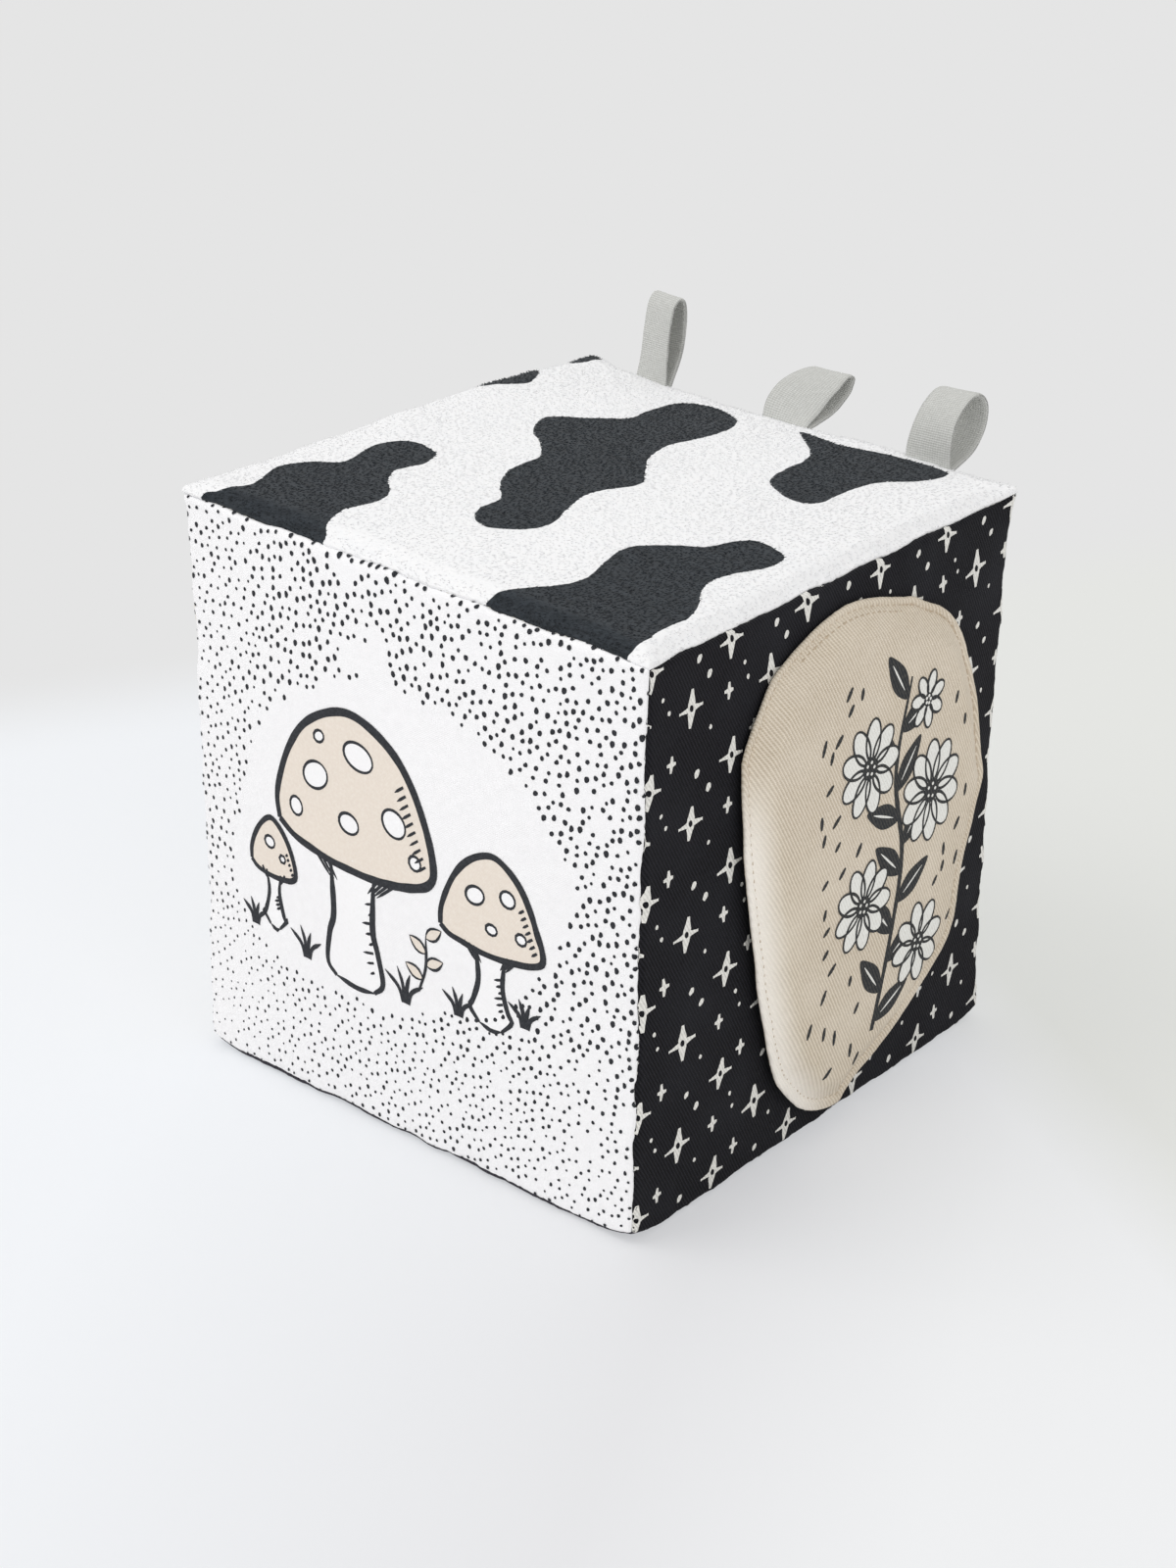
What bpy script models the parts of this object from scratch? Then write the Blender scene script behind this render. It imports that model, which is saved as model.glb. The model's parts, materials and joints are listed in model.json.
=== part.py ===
"""Soft fabric activity block: a foam cube in six sewn panels, three tape loops and a padded flap.

Metres, +Z up.  The origin is the middle of the bottom face.  -Y is the dotted white
face, +X is the starred face with the flap, and the tape loops are sewn into the
seam between the plush top and the back.
"""
import math

import bpy
from mathutils import Vector

# Cube and cloth
CUBE_SIDE = 0.140
EDGE_RADIUS = 0.003
CLOTH_THICKNESS = 0.0008
FIT_GAP = 0.0003
SEAM_ALLOWANCE = 0.0065
CORNER_CLIP = 0.014
FACE_CROWN = 0.0025
EDGE_DRAW_IN = 0.0007
PILE_HEIGHT = 0.0022
PILE_RISE_SHARES = (0.0, 0.6, 0.9)
PANEL_CELLS = 4

# How far each sewn corner sits from the true cube corner, in shares of the cube side
CORNER_NUDGE_SHARES = {
    (-1, -1, 1): (-0.0043, 0.0079, 0.0243),
    (1, -1, 1): (0.0064, 0.0036, -0.0029),
    (1, 1, 1): (-0.0236, -0.0150, 0.0),
    (-1, 1, 1): (0.0200, 0.0229, 0.0136),
    (-1, -1, -1): (0.0207, -0.0071, 0.0),
    (1, -1, -1): (0.0007, -0.0021, 0.0),
    (1, 1, -1): (-0.0200, -0.0100, 0.0),
    (-1, 1, -1): (0.0107, 0.0107, 0.0),
}
# Corners of the top stand out in small points, corners of the bottom lift off the floor
CORNER_REACH_SHARE = 0.20
CORNER_POINTS = {
    (-1, -1, 1): 0.0010,
    (1, -1, 1): 0.0005,
    (1, 1, 1): 0.0023,
    (-1, 1, 1): 0.0015,
}
CORNER_LIFT = 0.0029

# Foam cube
FOAM_EDGE_CHAMFER = 0.0040
FOAM_HEM_EASE = 0.0005

# Seam threads
SEAM_THREAD_RADIUS = 0.0002
SEAM_THREAD_DEPTH = 0.0023
SEAM_THREAD_STEPS = 6

# Tape loops: where along the seam, length, lean above horizontal and belly across
TAPE_WIDTH = 0.0127
TAPE_THICKNESS = 0.0009
TAPE_END_DEPTH = 0.00125
TAPE_STEPS = 22
LOOP_PITCH = 0.0461
LOOP_SHIFT = -0.0018
LOOP_LENGTHS = (0.0222, 0.0208, 0.0226)
LOOP_BELLIES = (0.0081, 0.0086, 0.0097)
LOOP_LEANS_DEG = (92.0, 20.0, 43.0)
LOOP_NAMES = ("left", "middle", "right")
LOOP_ROUNDNESS = 2.598
SEAM_LEAN_DEG = 45.0
LOOP_CAP_STEPS = 6
LOOP_FORK_SHARE = 0.8
SLOT_EASE = 0.0010

# Padded flap on the +X face
FLAP_SEWN_MARGIN = 0.0086
FLAP_CLOTH = 0.0008
FLAP_WADDING = 0.0016
FLAP_EDGE_ROUND = 0.0018
FLAP_STAND_OFF = 0.0022
FLAP_OUTLINE_STEPS = 34
FLAP_MARGIN_STEPS = 12
FLAP_RING_SHARES = (0.70, 0.38)
FLAP_ROUND_ANGLES_DEG = (0.0, 40.0, 90.0)
# Closed outline of the flap seen from +X, in shares of the cube side
FLAP_OUTLINE_SHARES = (
    (0.1457, 0.9314), (0.2064, 0.9064), (0.2593, 0.8786), (0.3021, 0.8436),
    (0.3386, 0.7914), (0.3800, 0.7014), (0.4150, 0.5679), (0.4436, 0.5107),
    (0.4007, 0.4414), (0.3743, 0.3464), (0.3514, 0.2400), (0.2686, 0.1664),
    (0.1721, 0.0986), (0.0829, 0.0657), (0.0264, 0.0407), (-0.0379, 0.0507),
    (-0.0907, 0.0771), (-0.1357, 0.1257), (-0.1664, 0.1736), (-0.2014, 0.2814),
    (-0.2279, 0.3857), (-0.2693, 0.5743), (-0.2914, 0.7479), (-0.2850, 0.8064),
    (-0.2507, 0.8621), (-0.2200, 0.8993), (-0.1779, 0.9236), (-0.1321, 0.9450),
    (-0.0829, 0.9593), (-0.0264, 0.9686), (0.0379, 0.9600), (0.0943, 0.9493),
)

# Topstitch round the flap
STITCH_INSET = 0.0030
STITCH_PITCH = 0.0042
STITCH_DIP_SHARE = 0.45
STITCH_WIDTH = 0.00045
STITCH_HEIGHT = 0.00028
STITCH_GAP = 0.00015

# Places that follow from the sizes
HALF_SIDE = CUBE_SIDE / 2
MITRE_SHIFT = FIT_GAP / math.sqrt(2)
SEAM_HALF = HALF_SIDE - MITRE_SHIFT
FLAT_HALF = SEAM_HALF - EDGE_RADIUS
CENTRE = Vector((0, 0, HALF_SIDE))
HEM_DEPTH = CLOTH_THICKNESS * 2 + FIT_GAP
FLAP_THICKNESS = FLAP_CLOTH * 2 + FLAP_WADDING + FIT_GAP * 2
FLAP_TOP = max(share[1] for share in FLAP_OUTLINE_SHARES) * CUBE_SIDE
FLAP_FOLD_HEIGHT = FLAP_TOP - FLAP_SEWN_MARGIN
FLAP_FOLD_LOW = FLAP_FOLD_HEIGHT - FIT_GAP / 2
FLAP_FOLD_HIGH = FLAP_FOLD_HEIGHT + FIT_GAP / 2

FACES = {
    "front": (Vector((1, 0, 0)), Vector((0, 0, 1)), Vector((0, -1, 0))),
    "right": (Vector((0, 1, 0)), Vector((0, 0, 1)), Vector((1, 0, 0))),
    "back": (Vector((-1, 0, 0)), Vector((0, 0, 1)), Vector((0, 1, 0))),
    "left": (Vector((0, -1, 0)), Vector((0, 0, 1)), Vector((-1, 0, 0))),
    "top": (Vector((1, 0, 0)), Vector((0, 1, 0)), Vector((0, 0, 1))),
    "bottom": (Vector((1, 0, 0)), Vector((0, -1, 0)), Vector((0, 0, -1))),
}

# Base colour (linear), roughness
MATERIALS = {
    "white_dotted_cotton": ((0.800, 0.800, 0.790), 0.88),
    "black_star_twill": ((0.026, 0.027, 0.031), 0.90),
    "cow_plush": ((0.840, 0.855, 0.860), 0.96),
    "grey_cotton": ((0.420, 0.425, 0.420), 0.90),
    "cream_cotton": ((0.720, 0.690, 0.630), 0.90),
    "charcoal_twill": ((0.030, 0.030, 0.035), 0.92),
    "upholstery_foam": ((0.760, 0.730, 0.560), 0.95),
    "sewing_thread": ((0.600, 0.590, 0.560), 0.70),
    "grey_tape": ((0.480, 0.485, 0.470), 0.85),
    "beige_twill": ((0.630, 0.540, 0.430), 0.90),
    "polyester_wadding": ((0.860, 0.860, 0.850), 0.97),
    "beige_thread": ((0.560, 0.480, 0.390), 0.70),
}


def clear_scene():
    """Remove every object that the file opened with."""
    for item in list(bpy.data.objects):
        bpy.data.objects.remove(item, do_unlink=True)


def make_material(name):
    """Return the named cloth, foam or thread material."""
    found = bpy.data.materials.get(name)
    if found:
        return found
    colour, roughness = MATERIALS[name]
    material = bpy.data.materials.new(name)
    material.use_nodes = True
    shader = material.node_tree.nodes["Principled BSDF"]
    shader.inputs["Base Color"].default_value = (*colour, 1.0)
    shader.inputs["Roughness"].default_value = roughness
    shader.inputs["Metallic"].default_value = 0.0
    return material


def clamp(value, low=-1.0, high=1.0):
    """Keep value between low and high."""
    return max(low, min(high, value))


def corner_weight(share):
    """0 away from a corner, rising smoothly to 1 at it."""
    start = 1.0 - CORNER_REACH_SHARE
    return max(0.0, (abs(share) - start) / CORNER_REACH_SHARE) ** 2


def soften(point):
    """Carry a point of the ideal cube to the sewn, slightly crowned block."""
    a = clamp(point.x / HALF_SIDE)
    b = clamp(point.y / HALF_SIDE)
    c = clamp((point.z - HALF_SIDE) / HALF_SIDE)
    ra, rb, rc = 1 - a * a, 1 - b * b, 1 - c * c
    pa, pb, pc = a * a, b * b, c * c
    shift = Vector((
        a * (FACE_CROWN * rb * rc - EDGE_DRAW_IN * (pb * rc + pc * rb)),
        b * (FACE_CROWN * ra * rc - EDGE_DRAW_IN * (pa * rc + pc * ra)),
        max(c, 0.0) * (FACE_CROWN * ra * rb - EDGE_DRAW_IN * (pa * rb + pb * ra)),
    ))
    near = corner_weight(a) * corner_weight(b) * corner_weight(c)
    for (sx, sy, sz), nudge in CORNER_NUDGE_SHARES.items():
        weight = (1 + sx * a) / 2 * (1 + sy * b) / 2 * (1 + sz * c) / 2
        shift += weight * CUBE_SIDE * Vector(nudge)
        if near > 0 and (sx * a > 0) and (sy * b > 0) and (sz * c > 0):
            outward = Vector((sx, sy, sz)).normalized()
            shift += near * CORNER_POINTS.get((sx, sy, sz), 0.0) * outward
    if c < 0:
        shift.z += near * CORNER_LIFT
    return point + shift


def make_object(name, vertices, faces, material, origin=None, parent=None, smooth=False):
    """Add one mesh object, with its vertices kept about its own origin."""
    origin = origin or Vector((0, 0, 0))
    mesh = bpy.data.meshes.new(name)
    mesh.from_pydata([tuple(v - origin) for v in vertices], [], faces)
    mesh.validate()
    mesh.update()
    item = bpy.data.objects.new(name, mesh)
    bpy.context.scene.collection.objects.link(item)
    mesh.materials.append(make_material(material))
    for polygon in mesh.polygons:
        polygon.use_smooth = smooth
    if parent:
        item.parent = parent
    else:
        item.location = origin
    return item


def make_hinge(name, place):
    """Add an empty on a joint axis for the pieces that turn about it."""
    hinge = bpy.data.objects.new(name, None)
    hinge.empty_display_size = TAPE_WIDTH
    hinge.location = place
    bpy.context.scene.collection.objects.link(hinge)
    return hinge


def cell_solid(lines, filled, place):
    """Closed surface of the filled cells of a box grid, each grid point put by place."""
    counts = [len(axis) - 1 for axis in lines]
    numbers = {}
    vertices = []
    faces = []

    def number(key):
        if key not in numbers:
            numbers[key] = len(vertices)
            vertices.append(place(*(lines[axis][key[axis]] for axis in range(3))))
        return numbers[key]

    def is_filled(cell):
        if any(cell[axis] < 0 or cell[axis] >= counts[axis] for axis in range(3)):
            return False
        middles = [(lines[axis][cell[axis]] + lines[axis][cell[axis] + 1]) / 2 for axis in range(3)]
        return filled(*middles)

    for i in range(counts[0]):
        for j in range(counts[1]):
            for k in range(counts[2]):
                if not is_filled((i, j, k)):
                    continue
                for axis in range(3):
                    second, third = (axis + 1) % 3, (axis + 2) % 3
                    for side in (0, 1):
                        beside = [i, j, k]
                        beside[axis] += 1 if side else -1
                        if is_filled(tuple(beside)):
                            continue
                        ring = []
                        for step_b, step_c in ((0, 0), (1, 0), (1, 1), (0, 1)):
                            key = [i, j, k]
                            key[axis] += side
                            key[second] += step_b
                            key[third] += step_c
                            ring.append(number(tuple(key)))
                        middle_b = lines[second][beside[second]] + lines[second][beside[second] + 1]
                        middle_c = lines[third][beside[third]] + lines[third][beside[third] + 1]
                        if middle_b * middle_c < 0:
                            ring = ring[1:] + ring[:1]
                        pair = [[ring[0], ring[1], ring[2]], [ring[0], ring[2], ring[3]]]
                        faces.extend(pair if side else [face[::-1] for face in pair])
    return vertices, faces


def mirrored(values):
    """Sorted list of the values, their negatives and nothing twice."""
    return sorted({round(sign * value, 7) for value in values for sign in (1, -1)})


def loop_centres():
    """Places of the loops along X."""
    middle = (len(LOOP_NAMES) - 1) / 2
    return [LOOP_SHIFT + (index - middle) * LOOP_PITCH for index in range(len(LOOP_NAMES))]


def slot_spans():
    """Stretches of the top back seam that are open for the tapes."""
    reach = TAPE_WIDTH / 2 + SLOT_EASE
    return [(centre - reach, centre + reach) for centre in loop_centres()]


def edge_lines():
    """Grid lines that follow the seam, the hem and the clipped corner."""
    return [SEAM_HALF, SEAM_HALF - EDGE_RADIUS / 2, FLAT_HALF, SEAM_HALF - SEAM_ALLOWANCE,
            SEAM_HALF - CORNER_CLIP]


def inner_lines():
    """Grid lines between the clipped corners."""
    reach = SEAM_HALF - CORNER_CLIP
    return [reach * (2 * index / PANEL_CELLS - 1) for index in range(1, PANEL_CELLS)]


def panel_point(face, across, up, depth, raised=0.0):
    """Point of a panel: across and up run over the face and round its rolled edges."""
    u_axis, v_axis, normal = FACES[face]
    flat_u = clamp(across, -FLAT_HALF, FLAT_HALF)
    flat_v = clamp(up, -FLAT_HALF, FLAT_HALF)
    ray = Vector((across - flat_u, up - flat_v, EDGE_RADIUS)).normalized()
    local = Vector((flat_u, flat_v, FLAT_HALF)) + ray * (EDGE_RADIUS - depth)
    height = local.z + MITRE_SHIFT + raised
    return soften(CENTRE + u_axis * local.x + v_axis * local.y + normal * height)


def pile_rise(across, up):
    """Height of the plush above its backing, falling away at the seams."""
    margin = SEAM_HALF - max(abs(across), abs(up))
    stops = (0.0, EDGE_RADIUS / 2, EDGE_RADIUS)
    for stop, share in zip(stops, PILE_RISE_SHARES):
        if margin <= stop + FIT_GAP / 10:
            return PILE_HEIGHT * share
    return PILE_HEIGHT


def build_panel(face, material):
    """One cloth panel with its rolled edges and its seam allowances turned under."""
    spans = slot_spans() if face in ("top", "back") else []
    sign = -1 if face == "back" else 1
    ends = sorted({round(sign * end, 7) for span in spans for end in span})
    across_lines = mirrored(edge_lines()) + (ends or [round(v, 7) for v in inner_lines()])
    up_lines = mirrored(edge_lines()) + [round(v, 7) for v in inner_lines()]
    lines = [sorted(set(across_lines)), sorted(set(up_lines)),
             [-HEM_DEPTH, -CLOTH_THICKNESS - FIT_GAP, -CLOTH_THICKNESS, 0.0]]
    clipped = SEAM_HALF - CORNER_CLIP
    hem = SEAM_HALF - SEAM_ALLOWANCE

    def filled(across, up, height):
        depth = -height
        in_slot = any(low < sign * across < high for low, high in spans)
        if in_slot and up > FLAT_HALF:
            return False
        if depth < CLOTH_THICKNESS:
            return True
        start = FLAT_HALF if depth < CLOTH_THICKNESS + FIT_GAP else hem
        along_u = abs(across) > start and abs(up) < clipped
        along_v = abs(up) > start and abs(across) < clipped
        return along_u or along_v

    def place(across, up, height):
        raised = pile_rise(across, up) if face == "top" and height == 0.0 else 0.0
        return panel_point(face, across, up, -height, raised)

    vertices, faces = cell_solid(lines, filled, place)
    return make_object(face + "_panel", vertices, faces, material, smooth=False)


def build_foam():
    """Foam cube, full under the middle of each panel and lower under the hems."""
    full = SEAM_HALF + MITRE_SHIFT - CLOTH_THICKNESS - FIT_GAP
    low = SEAM_HALF + MITRE_SHIFT - HEM_DEPTH - FIT_GAP
    raised_half = SEAM_HALF - SEAM_ALLOWANCE - FOAM_HEM_EASE
    bevel = SEAM_HALF - FOAM_EDGE_CHAMFER
    own = [full, low, bevel, raised_half, SEAM_HALF - CORNER_CLIP]
    axis = sorted(set(mirrored(own) + [round(v, 7) for v in inner_lines()]))
    low_mark = round(low, 7)

    def filled(x, y, z):
        outside = [value for value in (x, y, z) if abs(value) > low]
        if not outside:
            return True
        inside = [value for value in (x, y, z) if abs(value) < raised_half]
        return len(outside) == 1 and len(inside) == 2

    def place(x, y, z):
        values = [x, y, z]
        rims = [index for index in range(3) if abs(values[index]) == low_mark]
        if len(rims) > 1:
            bevelled = (low + (len(rims) - 1) * bevel) / len(rims)
            for index in rims:
                values[index] = math.copysign(bevelled, values[index])
        return soften(CENTRE + Vector(values))

    vertices, faces = cell_solid([axis, axis, axis], filled, place)
    return make_object("foam_core", vertices, faces, "upholstery_foam", smooth=False)


def tube(points, radius, side_a, side_b):
    """Square-sectioned closed tube through the points, in the plane of the two sides."""
    vertices = []
    for point in points:
        for turn in ((1, 0), (0, 1), (-1, 0), (0, -1)):
            vertices.append(point + radius * (turn[0] * side_a + turn[1] * side_b))
    faces = [[3, 2, 1, 0]]
    for ring in range(len(points) - 1):
        base = ring * 4
        for index in range(4):
            after = (index + 1) % 4
            faces.append([base + index, base + after, base + 4 + after, base + 4 + index])
    last = (len(points) - 1) * 4
    faces.append([last, last + 1, last + 2, last + 3])
    return vertices, faces


def build_seam_threads():
    """One thread under each of the twelve seams."""
    pairs = (("top", "front"), ("top", "right"), ("top", "back"), ("top", "left"),
             ("bottom", "front"), ("bottom", "right"), ("bottom", "back"), ("bottom", "left"),
             ("front", "right"), ("right", "back"), ("back", "left"), ("left", "front"))
    reach = SEAM_HALF - CORNER_CLIP
    inset = FLAT_HALF + (EDGE_RADIUS - SEAM_THREAD_DEPTH) / math.sqrt(2)
    for first, second in pairs:
        side_a = FACES[first][2]
        side_b = FACES[second][2]
        along = side_a.cross(side_b)
        points = []
        for step in range(SEAM_THREAD_STEPS + 1):
            run = reach * (2 * step / SEAM_THREAD_STEPS - 1)
            points.append(soften(CENTRE + inset * (side_a + side_b) + run * along))
        vertices, faces = tube(points, SEAM_THREAD_RADIUS, side_a, side_b)
        name = "seam_thread_" + first + "_" + second
        make_object(name, vertices, faces, "sewing_thread")


def ribbon_solid(centre_line, normals, width_axis):
    """Closed tape along the centre line, as wide as the tape along the width axis."""
    half = TAPE_WIDTH / 2
    vertices = []
    for point, normal in zip(centre_line, normals):
        for side in (-1, 1):
            for lift in (-1, 1):
                edge = point + width_axis * (side * half)
                vertices.append(edge + normal * (lift * TAPE_THICKNESS / 2))
    faces = [[0, 1, 3, 2]]
    for step in range(len(centre_line) - 1):
        low, high = step * 4, step * 4 + 4
        for first, second in ((0, 1), (1, 3), (3, 2), (2, 0)):
            faces.append([low + second, low + first, high + first, high + second])
    last = (len(centre_line) - 1) * 4
    faces.append([last + 2, last + 3, last + 1, last])
    return vertices, faces


def seam_point(place_x, out_from_roll):
    """Point of the top back seam at a distance out from its rolling centre."""
    reach = FLAT_HALF + out_from_roll / math.sqrt(2)
    return soften(CENTRE + Vector((place_x, reach, reach)))


def seam_frame(place_x, lean_deg):
    """Direction of the seam at a tape, the way a lean points out of it, and their normal."""
    half = TAPE_WIDTH / 2
    run = seam_point(place_x + half, EDGE_RADIUS) - seam_point(place_x - half, EDGE_RADIUS)
    run.normalize()
    lean = math.radians(lean_deg)
    out = Vector((0, math.cos(lean), math.sin(lean)))
    out = (out - run * out.dot(run)).normalized()
    return run, out, run.cross(out)


def extrude_ring(outer, inner, apex, cap, width_axis):
    """Closed ring of tape: outer and inner outlines and the rounded cap where it is held."""
    half = width_axis * (TAPE_WIDTH / 2)
    around = outer + cap
    loops = [around, [apex] + inner]
    vertices = []
    starts = []
    for side in (-1, 1):
        for points in loops:
            starts.append(len(vertices))
            vertices.extend(point + half * side for point in points)
    faces = []
    for loop_index, flip in ((0, False), (1, True)):
        count = len(loops[loop_index])
        low, high = starts[loop_index], starts[loop_index + 2]
        for index in range(count):
            after = (index + 1) % count
            quad = [low + index, low + after, high + after, high + index]
            faces.append(quad if flip else quad[::-1])
    for side in (0, 2):
        out_start, in_start = starts[side], starts[side + 1]
        plate = []
        for index in range(len(inner) - 1):
            plate.append([out_start + index + 1, out_start + index + 2,
                          in_start + index + 2, in_start + index + 1])
        base = [in_start + len(inner), out_start + len(inner)]
        base += [out_start + len(inner) + step for step in range(1, len(cap) + 2)]
        base += [out_start, out_start + 1, in_start + 1]
        for first, second in zip(base, base[1:]):
            plate.append([in_start, first, second])
        faces.extend([face[::-1] for face in plate] if side else plate)
    return vertices, faces


def build_loop(index, place_x):
    """One tape loop that flops about the seam, and its two ends held in the seam."""
    name = LOOP_NAMES[index]
    run, out, over = seam_frame(place_x, LOOP_LEANS_DEG[index])
    base = seam_point(place_x, EDGE_RADIUS + FIT_GAP + TAPE_THICKNESS)
    length = LOOP_LENGTHS[index] - TAPE_THICKNESS / 2
    start = TAPE_THICKNESS / 2
    belly = LOOP_BELLIES[index] / 2 - TAPE_THICKNESS / 2
    swell = LOOP_ROUNDNESS * (belly - start)
    outer = []
    inner = []
    for step in range(TAPE_STEPS + 1):
        q = 1 - 2 * step / TAPE_STEPS
        bulge = 1 - q * q
        middle = base + out * (length * bulge) + over * (q * (start + swell * bulge))
        tangent = out * (-2 * length * q) + over * (start + swell * (1 - 3 * q * q))
        normal = run.cross(tangent).normalized() * (TAPE_THICKNESS / 2)
        outer.append(middle - normal)
        if 0 < step < TAPE_STEPS:
            inner.append(middle + normal)
    cap = []
    for step in range(1, LOOP_CAP_STEPS):
        turn = math.pi * step / LOOP_CAP_STEPS
        cap.append(base - over * (TAPE_THICKNESS * math.cos(turn))
                   - out * (TAPE_THICKNESS * math.sin(turn)))
    apex = base + out * (TAPE_THICKNESS * LOOP_FORK_SHARE)
    hinge = make_hinge("loop_" + name + "_hinge", base)
    vertices, faces = extrude_ring(outer, inner, apex, cap, run)
    make_object("tape_loop_" + name, vertices, faces, "grey_tape",
                origin=hinge.location, parent=hinge)

    run, out, over = seam_frame(place_x, SEAM_LEAN_DEG)
    offset = TAPE_THICKNESS / 2 + FIT_GAP / 2
    inner_end = seam_point(place_x, EDGE_RADIUS - TAPE_END_DEPTH)
    outer_end = seam_point(place_x, EDGE_RADIUS)
    for side, where in ((1, "top"), (-1, "back")):
        ends = [inner_end + over * (side * offset), outer_end + over * (side * offset)]
        vertices, faces = ribbon_solid(ends, [-over] * 2, run)
        make_object("tape_end_" + name + "_" + where, vertices, faces, "grey_tape")
    print(hinge.name, [round(v, 5) for v in base], "axis", [round(v, 4) for v in run])


def smooth_outline():
    """Dense closed curve through the flap outline, clockwise seen from +X."""
    points = [Vector((y * CUBE_SIDE, z * CUBE_SIDE)) for y, z in FLAP_OUTLINE_SHARES]
    count = len(points)
    parts = 6
    dense = []
    for index in range(count):
        p0, p1, p2, p3 = (points[(index + shift) % count] for shift in (-1, 0, 1, 2))
        for part in range(parts):
            t = part / parts
            dense.append((2 * p1 + (p2 - p0) * t + (2 * p0 - 5 * p1 + 4 * p2 - p3) * t * t
                          + (3 * p1 - p0 - 3 * p2 + p3) * t ** 3) / 2)
    return dense


def cut_outline(dense, height, keep_low):
    """The part of the outline on one side of the fold, from one fold end to the other."""
    count = len(dense)
    sign = -1 if keep_low else 1
    inside = [sign * (point.y - height) > 0 for point in dense]
    first = next(i for i in range(count) if inside[i] and not inside[i - 1])
    run = []
    index = first
    while inside[index % count]:
        run.append(dense[index % count])
        index += 1

    def crossing(a, b):
        return a.lerp(b, (height - a.y) / (b.y - a.y))

    start = crossing(dense[first - 1], dense[first])
    end = crossing(dense[(index - 1) % count], dense[index % count])
    return [start] + run + [end]


def resample(points, steps):
    """The same open line with evenly spaced points."""
    lengths = [0.0]
    for a, b in zip(points, points[1:]):
        lengths.append(lengths[-1] + (b - a).length)
    result = []
    place = 0
    for step in range(steps + 1):
        target = lengths[-1] * step / steps
        while place < len(points) - 2 and lengths[place + 1] < target:
            place += 1
        span = lengths[place + 1] - lengths[place]
        result.append(points[place].lerp(points[place + 1], clamp((target - lengths[place]) / span)))
    return result


def inward_normals(points, middle):
    """Directions that take the outline inwards, kept level at the two fold ends."""
    normals = []
    for index, point in enumerate(points):
        before = points[max(index - 1, 0)]
        after = points[min(index + 1, len(points) - 1)]
        run = (after - before).normalized()
        normal = Vector((-run.y, run.x))
        if normal.dot(middle - point) < 0:
            normal = -normal
        if index in (0, len(points) - 1):
            normal = Vector((1 / normal.x, 0))
        normals.append(normal)
    return normals


def flap_lift(y, z):
    """Clearance behind the flap: close at the fold, more at its lower and left edges."""
    outline_y = [share[0] * CUBE_SIDE for share in FLAP_OUTLINE_SHARES]
    outline_z = [share[1] * CUBE_SIDE for share in FLAP_OUTLINE_SHARES]
    middle = (min(outline_y) + max(outline_y)) / 2
    drop = clamp((FLAP_FOLD_HEIGHT - z) / (FLAP_FOLD_HEIGHT - min(outline_z)), 0.0, 1.0)
    left = clamp((middle - y) / (middle - min(outline_y)), 0.0, 1.0)
    share = clamp(drop ** 2 + left ** 2 * clamp(3 * drop, 0.0, 1.0), 0.0, 1.0)
    return FIT_GAP + FLAP_STAND_OFF * share


def flap_point(flat, height):
    """Point of the flap at a height over its back surface."""
    base = soften(Vector((HALF_SIDE, flat.x, flat.y)))
    return base + Vector((flap_lift(flat.x, flat.y) + height, 0, 0))


def pad_surface(points, middle, insets, heights):
    """Rows of flap points from the edge inwards: the rounded edge, then the flat."""
    normals = inward_normals(points, middle)
    rows = []
    for inset, height in zip(insets, heights):
        rows.append([(point + normal * inset, height) for point, normal in zip(points, normals)])
    edge = rows[-1]
    for share in FLAP_RING_SHARES:
        rows.append([(middle.lerp(flat, share), height) for flat, height in edge])
    return rows


def join_pads(name, material, lower, upper, middle, hinge, closed_rim):
    """Close two pad surfaces into one solid that ends in a wall at the fold."""
    vertices = []
    faces = []

    def add_rows(rows):
        numbers = []
        for row in rows:
            numbers.append([len(vertices) + index for index in range(len(row))])
            vertices.extend(flap_point(flat, height) for flat, height in row)
        numbers.append([len(vertices)] * len(rows[0]))
        vertices.append(flap_point(middle, rows[-1][0][1]))
        return numbers

    low = add_rows(lower)
    high = add_rows(upper)
    if closed_rim:
        high[0] = low[0]
    count = len(lower[0])
    for rows, outward in ((low, False), (high, True)):
        for ring in range(len(rows) - 1):
            for index in range(count - 1):
                quad = [rows[ring][index], rows[ring][index + 1],
                        rows[ring + 1][index + 1], rows[ring + 1][index]]
                quad = list(dict.fromkeys(quad))
                faces.append(quad[::-1] if outward else quad)
    if not closed_rim:
        for index in range(count - 1):
            faces.append([high[0][index], high[0][index + 1], low[0][index + 1], low[0][index]])
    for index, outward in ((0, True), (count - 1, False)):
        for ring in range(len(low) - 1):
            quad = [low[ring][index], high[ring][index], high[ring + 1][index], low[ring + 1][index]]
            quad = list(dict.fromkeys(quad))
            faces.append(quad[::-1] if outward else quad)
    used = sorted({number for face in faces for number in face})
    lookup = {number: place for place, number in enumerate(used)}
    vertices = [vertices[number] for number in used]
    faces = [[lookup[number] for number in face] for face in faces]
    return make_object(name, vertices, faces, material,
                       origin=hinge.location if hinge else None, parent=hinge)


def rounded(inner_inset, inner_height, outer_height):
    """Insets and heights of an edge that rolls from the flap's middle layer to a surface."""
    insets = []
    heights = []
    for angle in FLAP_ROUND_ANGLES_DEG:
        turn = math.radians(angle)
        insets.append(inner_inset + (FLAP_EDGE_ROUND - inner_inset) * (1 - math.cos(turn)))
        heights.append(inner_height + (outer_height - inner_height) * math.sin(turn))
    return insets, heights


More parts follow.
